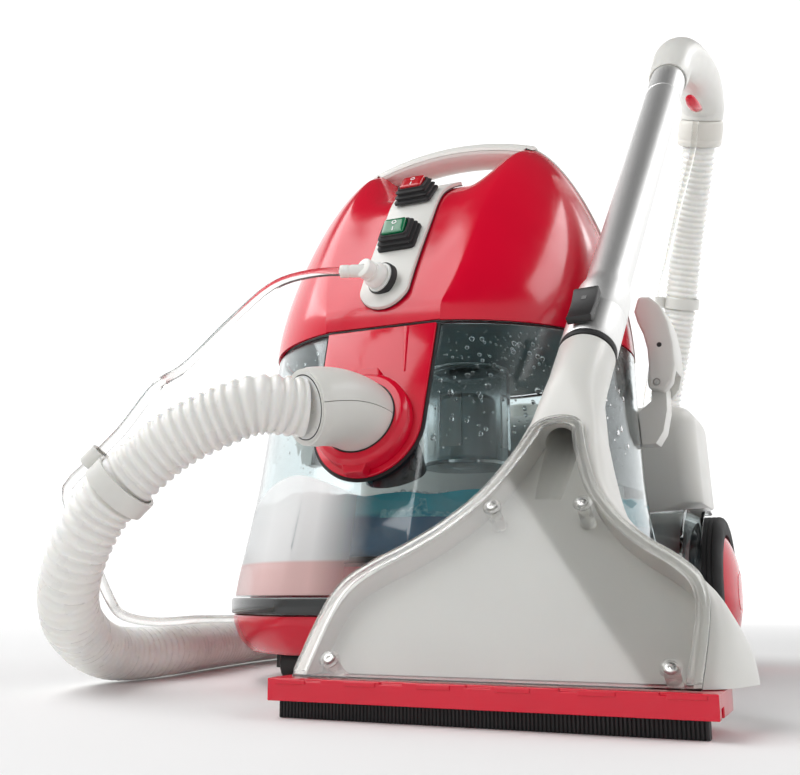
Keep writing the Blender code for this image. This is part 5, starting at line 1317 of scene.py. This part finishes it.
def wand_tube():
    """Brushed tube with its bell, a rolled joint above the bell and a sleeve line on top."""
    profile = [(WAND_BORE_R, TUBE_END), (WAND_TUBE_R, TUBE_END), (WAND_TUBE_R, 0.6462),
               (WAND_TUBE_R - 0.0003, 0.6458), (WAND_TUBE_R - 0.0003, 0.6446),
               (WAND_TUBE_R - 0.0001, 0.6440), (WAND_TUBE_R - 0.0001, BELL_END + 0.0140),
               (0.0164, BELL_END + 0.0105), (0.0175, BELL_END + 0.0060),
               (0.0187, BELL_END + 0.0015), (0.0192, BELL_END - 0.0030), (BELL_R, 0.3300),
               (BELL_R, 0.3140), (BELL_R - 0.0002, 0.3136), (BELL_R - 0.0002, 0.3130),
               (BELL_R, 0.3126), (BELL_R, BELL_START + 0.0010), (BELL_R - 0.0004, BELL_START),
               (SPIGOT_R, BELL_START), (SPIGOT_R, SPIGOT_END), (WAND_BORE_R, SPIGOT_END)]
    stand_in(turned("wand_sleeve", profile, ALUMINIUM, WAND_FOOT, WAND_AXIS, 96), "wand_tube")
    seal = [(SPIGOT_R + GAP, BELL_START - GAP), (0.0184, BELL_START - GAP),
            (0.0190, BELL_START - 0.0012), (0.0191, NECK_END + 0.0022), (0.0187, NECK_END + GAP),
            (SPIGOT_R + GAP, NECK_END + GAP)]
    stand_in(turned("seal_ring", seal, RUBBER, WAND_FOOT, WAND_AXIS, 72), "neck_seal")


def lock_button():
    """Black rocker with a hollowed face, raised ends and three fine grip marks."""
    outward = WAND_FRONT * math.cos(BUTTON_TILT) - WAND_SIDE * math.sin(BUTTON_TILT)
    across = WAND_AXIS.cross(outward)
    place = axes_matrix(wand_point(LOCK_BUTTON_AT) + outward * (BELL_R + 0.0016), across,
                        WAND_AXIS, outward)
    rings = []
    for v in levels(-BUTTON_HALF, BUTTON_HALF, 25):
        share = v / BUTTON_HALF
        top = 0.0040 + 0.0022 * share * share + 0.0010 * share
        top -= 0.0022 * smoothstep(0.93, 1.0, abs(share))
        top = min(top, 0.0062)
        half = 0.0088 - 0.0006 * smoothstep(0.90, 1.0, abs(share))
        rings.append([place @ Vector(p) for p in (
            (-half, v, 0.0), (half, v, 0.0), (half, v, top - 0.0008),
            (half - 0.0006, v, top - 0.0001), (half - 0.0014, v, top),
            (-half + 0.0014, v, top), (-half + 0.0006, v, top - 0.0001),
            (-half, v, top - 0.0008))])
    button = loft("rocker_button", rings, BLACK, angle=40.0)
    stand_in(button, "lock_button")
    for k in (-1, 0, 1):
        mark = plate(f"button_mark_{k + 2}", [(-0.0016, -0.00022), (0.0016, -0.00022),
                                              (0.0016, 0.00022), (-0.0016, 0.00022)],
                     -0.0003, 0.0002,
                     place @ Matrix.Translation((0.0, 0.0060 + 0.0013 * k, 0.0047)), PALE_MARK)
        enlist(mark, BODY_OF["lock_button"])


def grip_path():
    """Centre line of the grip, from the tube's top back and down to the hose."""
    return smooth_route([
        wand_point(GRIP_START), wand_point(TUBE_END + 0.0040), (0.1690, 0.3000, 0.5670),
        (0.1705, 0.3406, 0.5921), (0.1734, 0.3938, 0.6102), (0.1745, 0.4480, 0.6205),
        (0.1742, 0.4700, 0.6195), (0.1732, 0.4860, 0.6150),
        CUFF_START - CUFF_AXIS * 0.0100], 0.0050) + [CUFF_START]


GRIP_RADII = [(0.0, 0.0184), (0.12, 0.0188), (0.45, 0.0215), (0.80, 0.0232), (1.0, 0.0238)]


def wand_grip():
    """Light grey grip in two halves, its parting line a fine groove along its top."""
    frames = path_frames(grip_path())
    last = len(frames) - 1
    outer, inner = [], []
    for i, place in enumerate(frames):
        radius = interpolate(GRIP_RADII, i / last)[0]
        radius -= 0.0010 * smoothstep(0.03, 0.0, i / last)
        ring = []
        for k in range(72):
            angle = 2 * math.pi * k / 72
            groove = 0.00035 if k in (18, 54) else 0.0
            ring.append(place[0] + (place[1] * math.cos(angle) + place[2] * math.sin(angle))
                        * (radius - groove))
        outer.append(ring)
        inner.append(ring_at(place, WAND_TUBE_R + GAP, WAND_TUBE_R + GAP, 72))
    grip = loft("grip_shell", outer + inner[::-1], GREY, loop=True)
    stand_in(grip, "wand_grip")
    profile = [(0.0196, CUFF_LENGTH), (0.0228, CUFF_LENGTH), (0.0238, CUFF_LENGTH - 0.0006),
               (0.0248, CUFF_LENGTH - 0.0034), (0.0250, CUFF_LENGTH - 0.0060),
               (0.0246, CUFF_LENGTH - 0.0070), (0.0246, CUFF_LENGTH - 0.0082),
               (0.0250, CUFF_LENGTH - 0.0092), (0.0250, 0.0100), (0.0246, 0.0045),
               (0.0238, 0.0020), (0.0222, GAP), (0.0170, GAP), (0.0170, 0.0030),
               (0.0196, 0.0060)]
    stand_in(turned("swivel_cuff", profile, CUFF, CUFF_START, CUFF_AXIS, 80), "hose_cuff")


def trigger():
    """Red trigger, a smooth curved lever under the grip."""
    path = smooth_route([(0.1712, 0.3880, 0.5735), (0.1720, 0.4010, 0.5730),
                         (0.1730, 0.4180, 0.5755), (0.1738, 0.4400, 0.5820)], 0.0020)
    rings = []
    last = len(path) - 1
    table = [(0.0, 0.0045, 0.0030), (0.3, 0.0062, 0.0045), (0.6, 0.0062, 0.0045),
             (1.0, 0.0045, 0.0030)]
    for i, point in enumerate(path):
        half_x, half_z = interpolate(table, i / last)
        end = min(i, last - i)
        half_x, half_z = (v * (1.0 if end > 1 else 0.90 if end else 0.62) for v in (half_x, half_z))
        place = (point, Vector((1.0, 0.0, 0.0)), Vector((0.0, 0.0, 1.0)))
        rings.append(ring_at(place, half_x, half_z, 32))
    stand_in(loft("trigger_lever", rings, RED), "grip_trigger")


# ---------------------------------------------------------------- nozzle
NOZZLE_UP = Vector((0.0, WAND_AXIS.y, WAND_AXIS.z)).normalized()
NOZZLE_OUT = Vector((0.0, -NOZZLE_UP.z, NOZZLE_UP.y))
NOZZLE_DRIFT = WAND_AXIS.x / NOZZLE_UP.dot(WAND_AXIS)
LIP_LEFT, LIP_RIGHT = 0.0157, 0.2346
NOZZLE_FLOOR_Z = 0.0199
COVER_OUTLINE = [
    (0.0080, 0.1005), (0.0600, 0.1000), (0.0780, 0.0945), (0.0910, 0.0820),
    (0.1020, 0.0670), (0.1180, 0.0500), (0.1400, 0.0340), (0.1680, 0.0225),
    (0.1880, 0.0165), (0.1980, 0.0095), (0.2010, 0.0),
]
SHELL_SECTIONS = [
    (0.0060, 0.1050, 0.1290, 0.0100, -0.0330),
    (0.0280, 0.1050, 0.1265, 0.0100, -0.0335),
    (0.0560, 0.1050, 0.1200, 0.0100, -0.0345),
    (0.0760, 0.0995, 0.1100, 0.0100, -0.0350),
    (0.0920, 0.0860, 0.0930, 0.0100, -0.0350),
    (0.1060, 0.0690, 0.0775, 0.0100, -0.0345),
    (0.1240, 0.0510, 0.0610, 0.0100, -0.0330),
    (0.1480, 0.0350, 0.0450, 0.0100, -0.0300),
    (0.1760, 0.0265, 0.0335, 0.0100, -0.0250),
    (0.2040, 0.0205, 0.0240, 0.0100, -0.0215),
]
NOZZLE_SIDES = 96


NOZZLE_PLACE = axes_matrix(WAND_FOOT, (1.0, 0.0, 0.0),
                           NOZZLE_UP + Vector((NOZZLE_DRIFT, 0.0, 0.0)), NOZZLE_OUT)


def nozzle_point(across, up, out=0.0):
    """A point on the nozzle's plate: sideways, up the plate and outwards."""
    return NOZZLE_PLACE @ Vector((across, up, out))


def shell_ring(up, front_half, rear_half, front, rear):
    """One section of the nozzle's shell, a rounded trapezium."""
    ring = []
    for i in range(NOZZLE_SIDES):
        angle = 2 * math.pi * (i + 0.5) / NOZZLE_SIDES
        c, s = math.cos(angle), math.sin(angle)
        depth = front + (rear - front) * (0.5 - 0.5 * math.copysign(abs(s) ** 0.35, s))
        share = (depth - rear) / (front - rear)
        half = rear_half + (front_half - rear_half) * share
        ring.append(nozzle_point(half * math.copysign(abs(c) ** 0.35, c), up, depth))
    return ring


def neck_sections():
    """The round neck above the shell's trapezium sections."""
    rings = []
    for distance, radius in ((0.2280, 0.0196), (0.2420, NECK_R), (NECK_END - 0.0020, NECK_R),
                             (NECK_END, NECK_R - 0.0010)):
        ring = []
        for i in range(NOZZLE_SIDES):
            angle = 2 * math.pi * (i + 0.5) / NOZZLE_SIDES
            ring.append(wand_point(distance, radius * math.cos(angle), radius * math.sin(angle)))
        rings.append(ring)
    return rings


def cover_edge():
    """The cover's outline as (across, up), from the lower right round to the lower left."""
    table = COVER_OUTLINE[:-2]
    right = [(half, up) for up, half in finer(table, 5)]
    tip_up, tip_half = table[-1]
    for k in range(1, 10):
        angle = math.pi / 2 * k / 10
        right.append((tip_half * math.cos(angle), tip_up + (0.2010 - tip_up) * math.sin(angle)))
    return right + [(0.0, 0.2010)] + [(-x, y) for x, y in reversed(right)]


def inset_edge(edge, inset):
    """The outline drawn inwards by a distance."""
    result = []
    last = len(edge) - 1
    for i, (x, y) in enumerate(edge):
        (x0, y0), (x1, y1) = edge[max(i - 1, 0)], edge[min(i + 1, last)]
        length = math.hypot(x1 - x0, y1 - y0)
        result.append((x - (y1 - y0) / length * inset, y + (x1 - x0) / length * inset))
    return result


def cover_plate(name, inset, low, high, material):
    """A flat solid with the cover's outline, sheared to follow the wand."""
    return plate(name, inset_edge(cover_edge(), inset), low, high, NOZZLE_PLACE, material)


def floor_block():
    """Everything below the nozzle's underside, to trim what leans through it."""
    return block("floor_block", (-0.1, -0.35, -0.05), (0.35, 0.0, NOZZLE_FLOOR_Z))


def nozzle_shell():
    """Light grey nozzle body with its flow chamber, rim and neck."""
    rings = [shell_ring(*row) for row in finer(SHELL_SECTIONS, 4)] + neck_sections()
    shell = loft("nozzle_body", rings, GREY)
    chamber = cover_plate("chamber_cutter", 0.0045, -0.0050, 0.0250, None)
    bore = rod("bore_cutter", wand_point(0.1500, 0.0, 0.0020), wand_point(0.2340, 0.0, -0.0090),
               0.0105, None, 48)
    socket = rod("socket_cutter", wand_point(0.2300), wand_point(0.3100), NECK_BORE_R, None, 64)
    cut(shell, chamber, bore, socket, floor_block())
    stand_in(shell, "nozzle_shell")


RIM_PROFILE = [(0.0000, 0.0), (0.0000, 0.0012), (0.0004, 0.0016), (0.0012, 0.0016),
               (0.0017, 0.0012), (0.0022, 0.0004), (0.0044, 0.0004), (0.0048, 0.0010),
               (0.0052, 0.0013), (0.0059, 0.0013), (0.0063, 0.0010), (0.0067, 0.0)]


SCREW_PLACES = ((-0.0235, 0.1285), (0.0275, 0.1285), (-0.0835, 0.0262), (0.0865, 0.0262))
POST_PROFILE = [(0.0, 0.0140), (0.0032, 0.0140), (0.0038, 0.0134), (0.0038, 0.0020),
                (0.0050, 0.0), (0.0, 0.0)]
SCREW_PROFILE = [(0.0, 0.0007), (0.0008, 0.0005), (0.0013, 0.0012), (0.0023, 0.0011),
                 (0.0028, 0.0006), (0.0029, 0.0), (0.0, 0.0)]
BOSS_PROFILE = [(0.0034, 0.0014), (0.0042, 0.0014), (0.0050, 0.0008), (0.0053, 0.0),
                (0.0034, 0.0)]


def nozzle_cover():
    """Clear cover with two ribs along its edge, and screws in clear posts and bosses."""
    plate_piece = cover_plate("cover_plate", 0.0, 0.0104, 0.0128, CLEAR)
    cut(plate_piece, floor_block())
    stand_in(plate_piece, "nozzle_cover")
    edge = cover_edge()
    start = next(i for i, (_, up) in enumerate(edge) if up > 0.0165)
    kept = edge[start:len(edge) - start]
    lines = [inset_edge(kept, inset) for inset, _ in RIM_PROFILE]
    rings = [[nozzle_point(*lines[k][i], 0.01284 + RIM_PROFILE[k][1])
              for k in range(len(RIM_PROFILE))] for i in range(len(kept))]
    enlist(loft("cover_rim", rings, EDGE, angle=50.0), "nozzle")
    for i, (across, up) in enumerate(SCREW_PLACES):
        for name, profile, out, material, steps, slot in (
                ("screw_post", POST_PROFILE, -0.0040, EDGE, 32, "clear_plastic"),
                ("cover_screw", SCREW_PROFILE, 0.0130, STEEL, 32, "steel"),
                ("screw_boss", BOSS_PROFILE, 0.0130, EDGE, 40, "clear_plastic")):
            part = turned(f"{name}_{i}", profile, material, nozzle_point(across, up, out),
                          NOZZLE_OUT, steps)
            enlist(part, "nozzle")


def lip_holder():
    """Red clip-on strip with rounded edges, snap notches and raised end blocks."""
    outline = [(-0.1650, 0.0085), (-0.1650, 0.0195), (-0.1180, 0.0195), (-0.1180, 0.0085),
               (-0.1505, 0.0085), (-0.1505, 0.0130), (-0.1595, 0.0130), (-0.1595, 0.0085)]
    place = Matrix(((0, 0, 1, 0), (1, 0, 0, 0), (0, 1, 0, 0), (0, 0, 0, 1)))
    strip = plate("red_strip", outline, LIP_LEFT, LIP_RIGHT, place, RED)
    cutters = []
    for i in range(5):
        x = 0.034 + 0.044 * i
        cutters.append(block(f"notch_{i}", (x, -0.1660, 0.0182), (x + 0.012, -0.1628, 0.0200)))
    cut(strip, *cutters)
    soften(strip, 0.0006)
    stand_in(strip, "lip_holder")
    for i in range(6):
        x = 0.0205 + 0.0385 * i
        ledge = block(f"strip_ledge_{i}", (x, -0.1657, 0.0168), (x + 0.0170, -0.1646, 0.0190),
                      RED)
        soften(ledge, 0.0004)
        enlist(ledge, "nozzle")


LIP_Y, LIP_HALF = -0.1550, 0.0040


def squeegee():
    """Black rubber lip with fine upright ribs on both faces."""
    left, right, ribs = 0.0192, 0.2291, 110
    pitch = (right - left) / ribs
    front, back = [], []
    for i in range(ribs):
        x = left + pitch * i
        for dx, depth in ((0.0, 0.0007), (0.30, 0.0), (0.75, 0.0), (0.98, 0.0007)):
            front.append((x + pitch * dx, LIP_Y - LIP_HALF + depth))
            back.append((x + pitch * dx, LIP_Y + LIP_HALF - depth))
    outline = front + back[::-1]
    rings = [[Vector((x, y + (LIP_Y - y) * pinch, z)) for x, y in outline]
             for z, pinch in ((0.0, 0.10), (0.0008, 0.0), (0.0125, 0.0))]
    stand_in(loft("rubber_lip", rings, RUBBER, angle=30.0), "squeegee")


# ---------------------------------------------------------------- wheels, guards and latches
AXLE_Y = 0.302
AXLE_Z = 0.064
TYRE_R = 0.064
HUB_R = 0.0480
TYRE_IN_X = 0.163
TYRE_OUT_X = 0.190
GUARD_FROM, GUARD_TO = 75.0, 182.0


def rear_wheel(side_name, side):
    """Grooved tyre on a domed red hub with a pressed ring."""
    centre = Vector((side * TYRE_IN_X, AXLE_Y, AXLE_Z))
    width = TYRE_OUT_X - TYRE_IN_X
    tyre = [(HUB_R + GAP, width - 0.0006), (HUB_R + 0.0016, width), (TYRE_R - 0.0060, width),
            (TYRE_R - 0.0034, width - 0.0008), (TYRE_R - 0.0010, width - 0.0026),
            (TYRE_R, width - 0.0050)]
    z = width - 0.0070
    while z > 0.0070:
        tyre += [(TYRE_R, z), (TYRE_R - 0.0008, z - 0.0003), (TYRE_R - 0.0008, z - 0.0011),
                 (TYRE_R, z - 0.0014)]
        z -= 0.0040
    tyre += [(TYRE_R, 0.0050), (TYRE_R - 0.0010, 0.0026), (TYRE_R - 0.0034, 0.0008),
             (TYRE_R - 0.0060, 0.0), (HUB_R + GAP, 0.0)]
    stand_in(turned(f"tyre_{side_name}", tyre, TYRE, centre, (side, 0, 0), 96),
             f"rear_tyre_{side_name}")
    hub = [(0.0, width + 0.0085), (0.0080, width + 0.0083), (0.0150, width + 0.0077),
           (0.0158, width + 0.0070), (0.0172, width + 0.0070), (0.0180, width + 0.0074),
           (0.0260, width + 0.0060), (0.0330, width + 0.0042), (0.0390, width + 0.0020),
           (0.0440, width - 0.0004), (0.0466, width - 0.0022), (0.0478, width - 0.0040),
           (HUB_R, width - 0.0060), (HUB_R, 0.0020), (0.0056, 0.0020), (0.0056, 0.0200),
           (0.0, 0.0200)]
    stand_in(turned(f"hub_{side_name}", hub, RED, centre, (side, 0, 0), 96),
             f"rear_hub_{side_name}")


def wheel_guard(side_name, side):
    """Smoked guard over a rear wheel, with a rolled outer lip."""
    rings = []
    for degrees in levels(GUARD_FROM, GUARD_TO, 44):
        angle = math.radians(degrees)
        inward = 0.1560 + (0.1180 - 0.1560) * smoothstep(104.0, 109.0, degrees)
        section = [(inward, 0.0720), (0.1725, 0.0720), (0.1746, 0.0719), (0.1757, 0.0713),
                   (0.1760, 0.0705), (0.1757, 0.0697), (0.1746, 0.0691), (0.1605, 0.0690),
                   (0.1605, 0.0340), (0.1580, 0.0340), (0.1580, 0.0690), (inward, 0.0690)]
        rings.append([Vector((side * x, AXLE_Y + radius * math.cos(angle),
                              AXLE_Z + radius * math.sin(angle))) for x, radius in section])
    guard = loft(f"guard_{side_name}", rings, SMOKED)
    trim = loft("guard_trim", [tank_ring(z, -0.0006)
                               for z in levels(TANK_BOTTOM_Z - 0.02, TANK_TOP_Z, 16)], None)
    stand_in(cut(guard, trim), f"wheel_guard_{side_name}")


LATCH_Y = 0.170
LATCH_HALF = 0.0210


def latch(side_name, side):
    """Curved light grey lever with soft edges and the pin through its root; a black disc on each
    face is painted shade for a screw hole.
    """
    refined(f"latch_lever_{side_name}", GREY, 0.0006)
    refined(f"latch_bracket_{side_name}", GREY, 0.0006)
    refined(f"latch_pin_{side_name}", STEEL, 0.0004)
    for face in (-1, 1):
        y = LATCH_Y + face * (LATCH_HALF + 0.00005)
        # Painted shade: a flush black disc on each face stands in for the dark inside of a screw
        # hole.
        hole_shade_profile = [(0.0, 0.00018), (0.0012, 0.00018), (0.0015, 0.00042), (0.0019, 0.00030),
                  (0.0020, -0.0004), (0.0, -0.0004)]
        eye = turned(f"latch_hole_shade_{side_name}_{'front' if face < 0 else 'rear'}", hole_shade_profile, BLACK,
                     (side * 0.1660, y - face * 0.0002, 0.2500), (0, face, 0), 32)
        enlist(eye, BODY_OF[f"latch_lever_{side_name}"])


def rest_of_the_frame():
    """The nodes whose shape is right: soft edges, smooth shading and better materials."""
    for node, material, bevel in (
            ("tank_gasket", GASKET, 0.0), ("inlet_duct", DUCT, 0.0), ("rear_axle", STEEL, 0.0005),
            ("head_plate", PLATE, 0.0008), ("vacuum_motor", BLACK, 0.0006),
            ("motor_impeller", ALUMINIUM, 0.0006), ("water_pump", BLACK, 0.0008),
            ("float_cage", CAGE, 0.0005), ("shutoff_float", WHITE, 0.0008),
            ("caster_fork_left", BLACK, 0.0006), ("caster_fork_right", BLACK, 0.0006),
            ("caster_wheel_left", BLACK, 0.0006), ("caster_wheel_right", BLACK, 0.0006),
            ("solution_cap", GREY, 0.0)):
        refined(node, material, bevel)


SOLUTION_FRONT, SOLUTION_REAR = 0.2935, 0.3935
SOLUTION_LOW_HALF, SOLUTION_HALF = 0.1500, 0.1710
SOLUTION_STEP_Z, SOLUTION_BOTTOM, SOLUTION_TOP = 0.1380, 0.0785, 0.2320


SOLUTION_PLACE = Matrix.Translation((0.0, (SOLUTION_FRONT + SOLUTION_REAR) / 2, 0.0))


def solution_plan(height, half, inset, radius):
    """Rounded rectangle of the solution tank at a height."""
    half_y = (SOLUTION_REAR - SOLUTION_FRONT) / 2
    return rounded_rectangle(SOLUTION_PLACE, half - inset, half_y - inset, height, radius, 12)


def solution_tank():
    """Light grey blow-moulded tank with rounded shoulders and a plain round neck."""
    low, high, wall = SOLUTION_LOW_HALF, SOLUTION_HALF, 0.0025
    bottom, step, top = SOLUTION_BOTTOM, SOLUTION_STEP_Z, SOLUTION_TOP
    outside = [(bottom, low, 0.0060, 0.012), (bottom + 0.0012, low, 0.0030, 0.015),
               (bottom + 0.006, low, 0.0, 0.018), (step - 0.0045, low, 0.0, 0.018),
               (step - 0.0032, low, -0.0006, 0.018), (step + 0.0030, high, 0.0008, 0.018),
               (step + 0.0046, high, 0.0, 0.018), (top - 0.024, high - 0.0030, 0.0, 0.018)]
    for k in range(1, 9):
        angle = math.pi / 2 * k / 8
        outside.append((top - 0.022 + 0.022 * math.sin(angle), high - 0.0030,
                        0.0180 * (1 - math.cos(angle)), 0.018))
    neck = [(0.0185, top), (0.0185, top + 0.0120), (0.0155, top + 0.0120), (0.0155, top - wall)]
    inside = [(top - wall, high - 0.003, 0.0195, 0.015), (top - 0.022, high - 0.003, wall, 0.0155),
              (step + 0.007, high, wall, 0.0155), (step - 0.002, low, wall, 0.0155),
              (bottom + 0.007, low, wall, 0.0155), (bottom + wall, low, 0.0080, 0.010)]
    rings = ([solution_plan(*row) for row in outside]
             + [round_ring(SOLUTION_PLACE, *row, 48, 0.5) for row in neck]
             + [solution_plan(*row) for row in inside])
    stand_in(loft("grey_tank", rings, GREY, angle=40.0), "solution_tank")


# ---------------------------------------------------------------- studio
def studio():
    """Pale round floor that takes on the surroundings' brightness far from the object."""
    place = Matrix.Identity(4)
    rings = [round_ring(place, radius, -0.0002, 64) for radius in (0.001, 0.5, 1.2, 3.0, 6.0)]
    g = Graph("pale_paper")
    away = g.node("ShaderNodeVectorMath", operation="LENGTH", Vector=g.place)
    far = g.ramp(away.outputs["Value"], 0.0, 1.0, 0.7, 2.4)
    g.link(g.blend(far, (0.90, 0.90, 0.90), (0.04, 0.04, 0.04)), "Base Color")
    way = g.node("ShaderNodeVectorMath", operation="NORMALIZE", Vector=g.place)
    depth = g.node("ShaderNodeSeparateXYZ", Vector=way.outputs["Vector"]).outputs["Y"]
    g.link(g.maths("MULTIPLY", far, g.ramp(depth, 0.54, 0.97, -0.45, 0.25)), "Emission Color")
    g.set(Roughness=0.80, Emission_Strength=1.0, Specular_IOR_Level=0.1)
    loft("studio_floor", rings, g.material, caps=False)


def area_light(name, place, size, power):
    """A soft rectangular white light aimed at the object's front."""
    light = bpy.data.lights.new(name, "AREA")
    light.shape = "RECTANGLE"
    light.size, light.size_y = size
    light.energy = power
    obj = bpy.data.objects.new(name, light)
    scene.collection.objects.link(obj)
    obj.location = place
    way = Vector((0.0, -0.10, 0.30)) - Vector(place)
    obj.rotation_euler = way.to_track_quat("-Z", "Y").to_euler()


def lighting():
    """White surroundings that darken overhead and in front, and two large soft lights."""
    world = bpy.data.worlds.new("white_room")
    world.use_nodes = True
    tree = world.node_tree
    background = tree.nodes["Background"]
    way = tree.nodes.new("ShaderNodeSeparateXYZ")
    tree.links.new(tree.nodes.new("ShaderNodeTexCoord").outputs["Generated"], way.inputs[0])
    overhead = map_range(tree, way.outputs["Z"], 1.0, 0.06, 0.56, 0.63)
    in_front = map_range(tree, way.outputs["Y"], 0.56, 1.0, -0.45, 0.25)
    both = tree.nodes.new("ShaderNodeMath")
    both.operation = "MULTIPLY"
    for level, socket in zip((overhead, in_front), both.inputs):
        tree.links.new(level, socket)
    tree.links.new(both.outputs[0], background.inputs["Strength"])
    background.inputs["Color"].default_value = (1.0, 1.0, 1.0, 1.0)
    scene.world = world
    area_light("left", (-1.00, -0.68, 1.68), (2.6, 1.3), 27.0)
    area_light("right", (1.17, 0.50, 1.53), (2.0, 0.36), 7.0)


def build():
    """Make every piece."""
    recovery_tank()
    tank_water()
    condensation()
    foam()
    wall_liner("foam_bank", (-84.0, 40.0), 0.1095, foam_top, 0.0030, FOAM_BANK)
    # The dark liner on the inside of the tank's right side is painted shade: a dark sheet that
    # stands in for the shade inside the tank.
    wall_liner("painted_shade_liner", (-22.0, 34.0), 0.1370, lambda angle: 0.2360, 0.0016, DARK_SMOKE)
    front_print()
    tank_band()
    base_pan()
    inlet_bib()
    inlet_collar()
    inlet_elbow()
    head_shells()
    control_panel()
    handle()
    switch("power", POWER_SWITCH, LENS_RED)
    switch("pump", PUMP_SWITCH, GREEN)
    connector()
    wand_tube()
    lock_button()
    wand_grip()
    trigger()
    nozzle_shell()
    nozzle_cover()
    lip_holder()
    squeegee()
    for side_name, side in (("left", -1), ("right", 1)):
        rear_wheel(side_name, side)
        wheel_guard(side_name, side)
        latch(side_name, side)
    rest_of_the_frame()
    solution_tank()
    studio()
    lighting()


build()
bpy.context.view_layer.update()
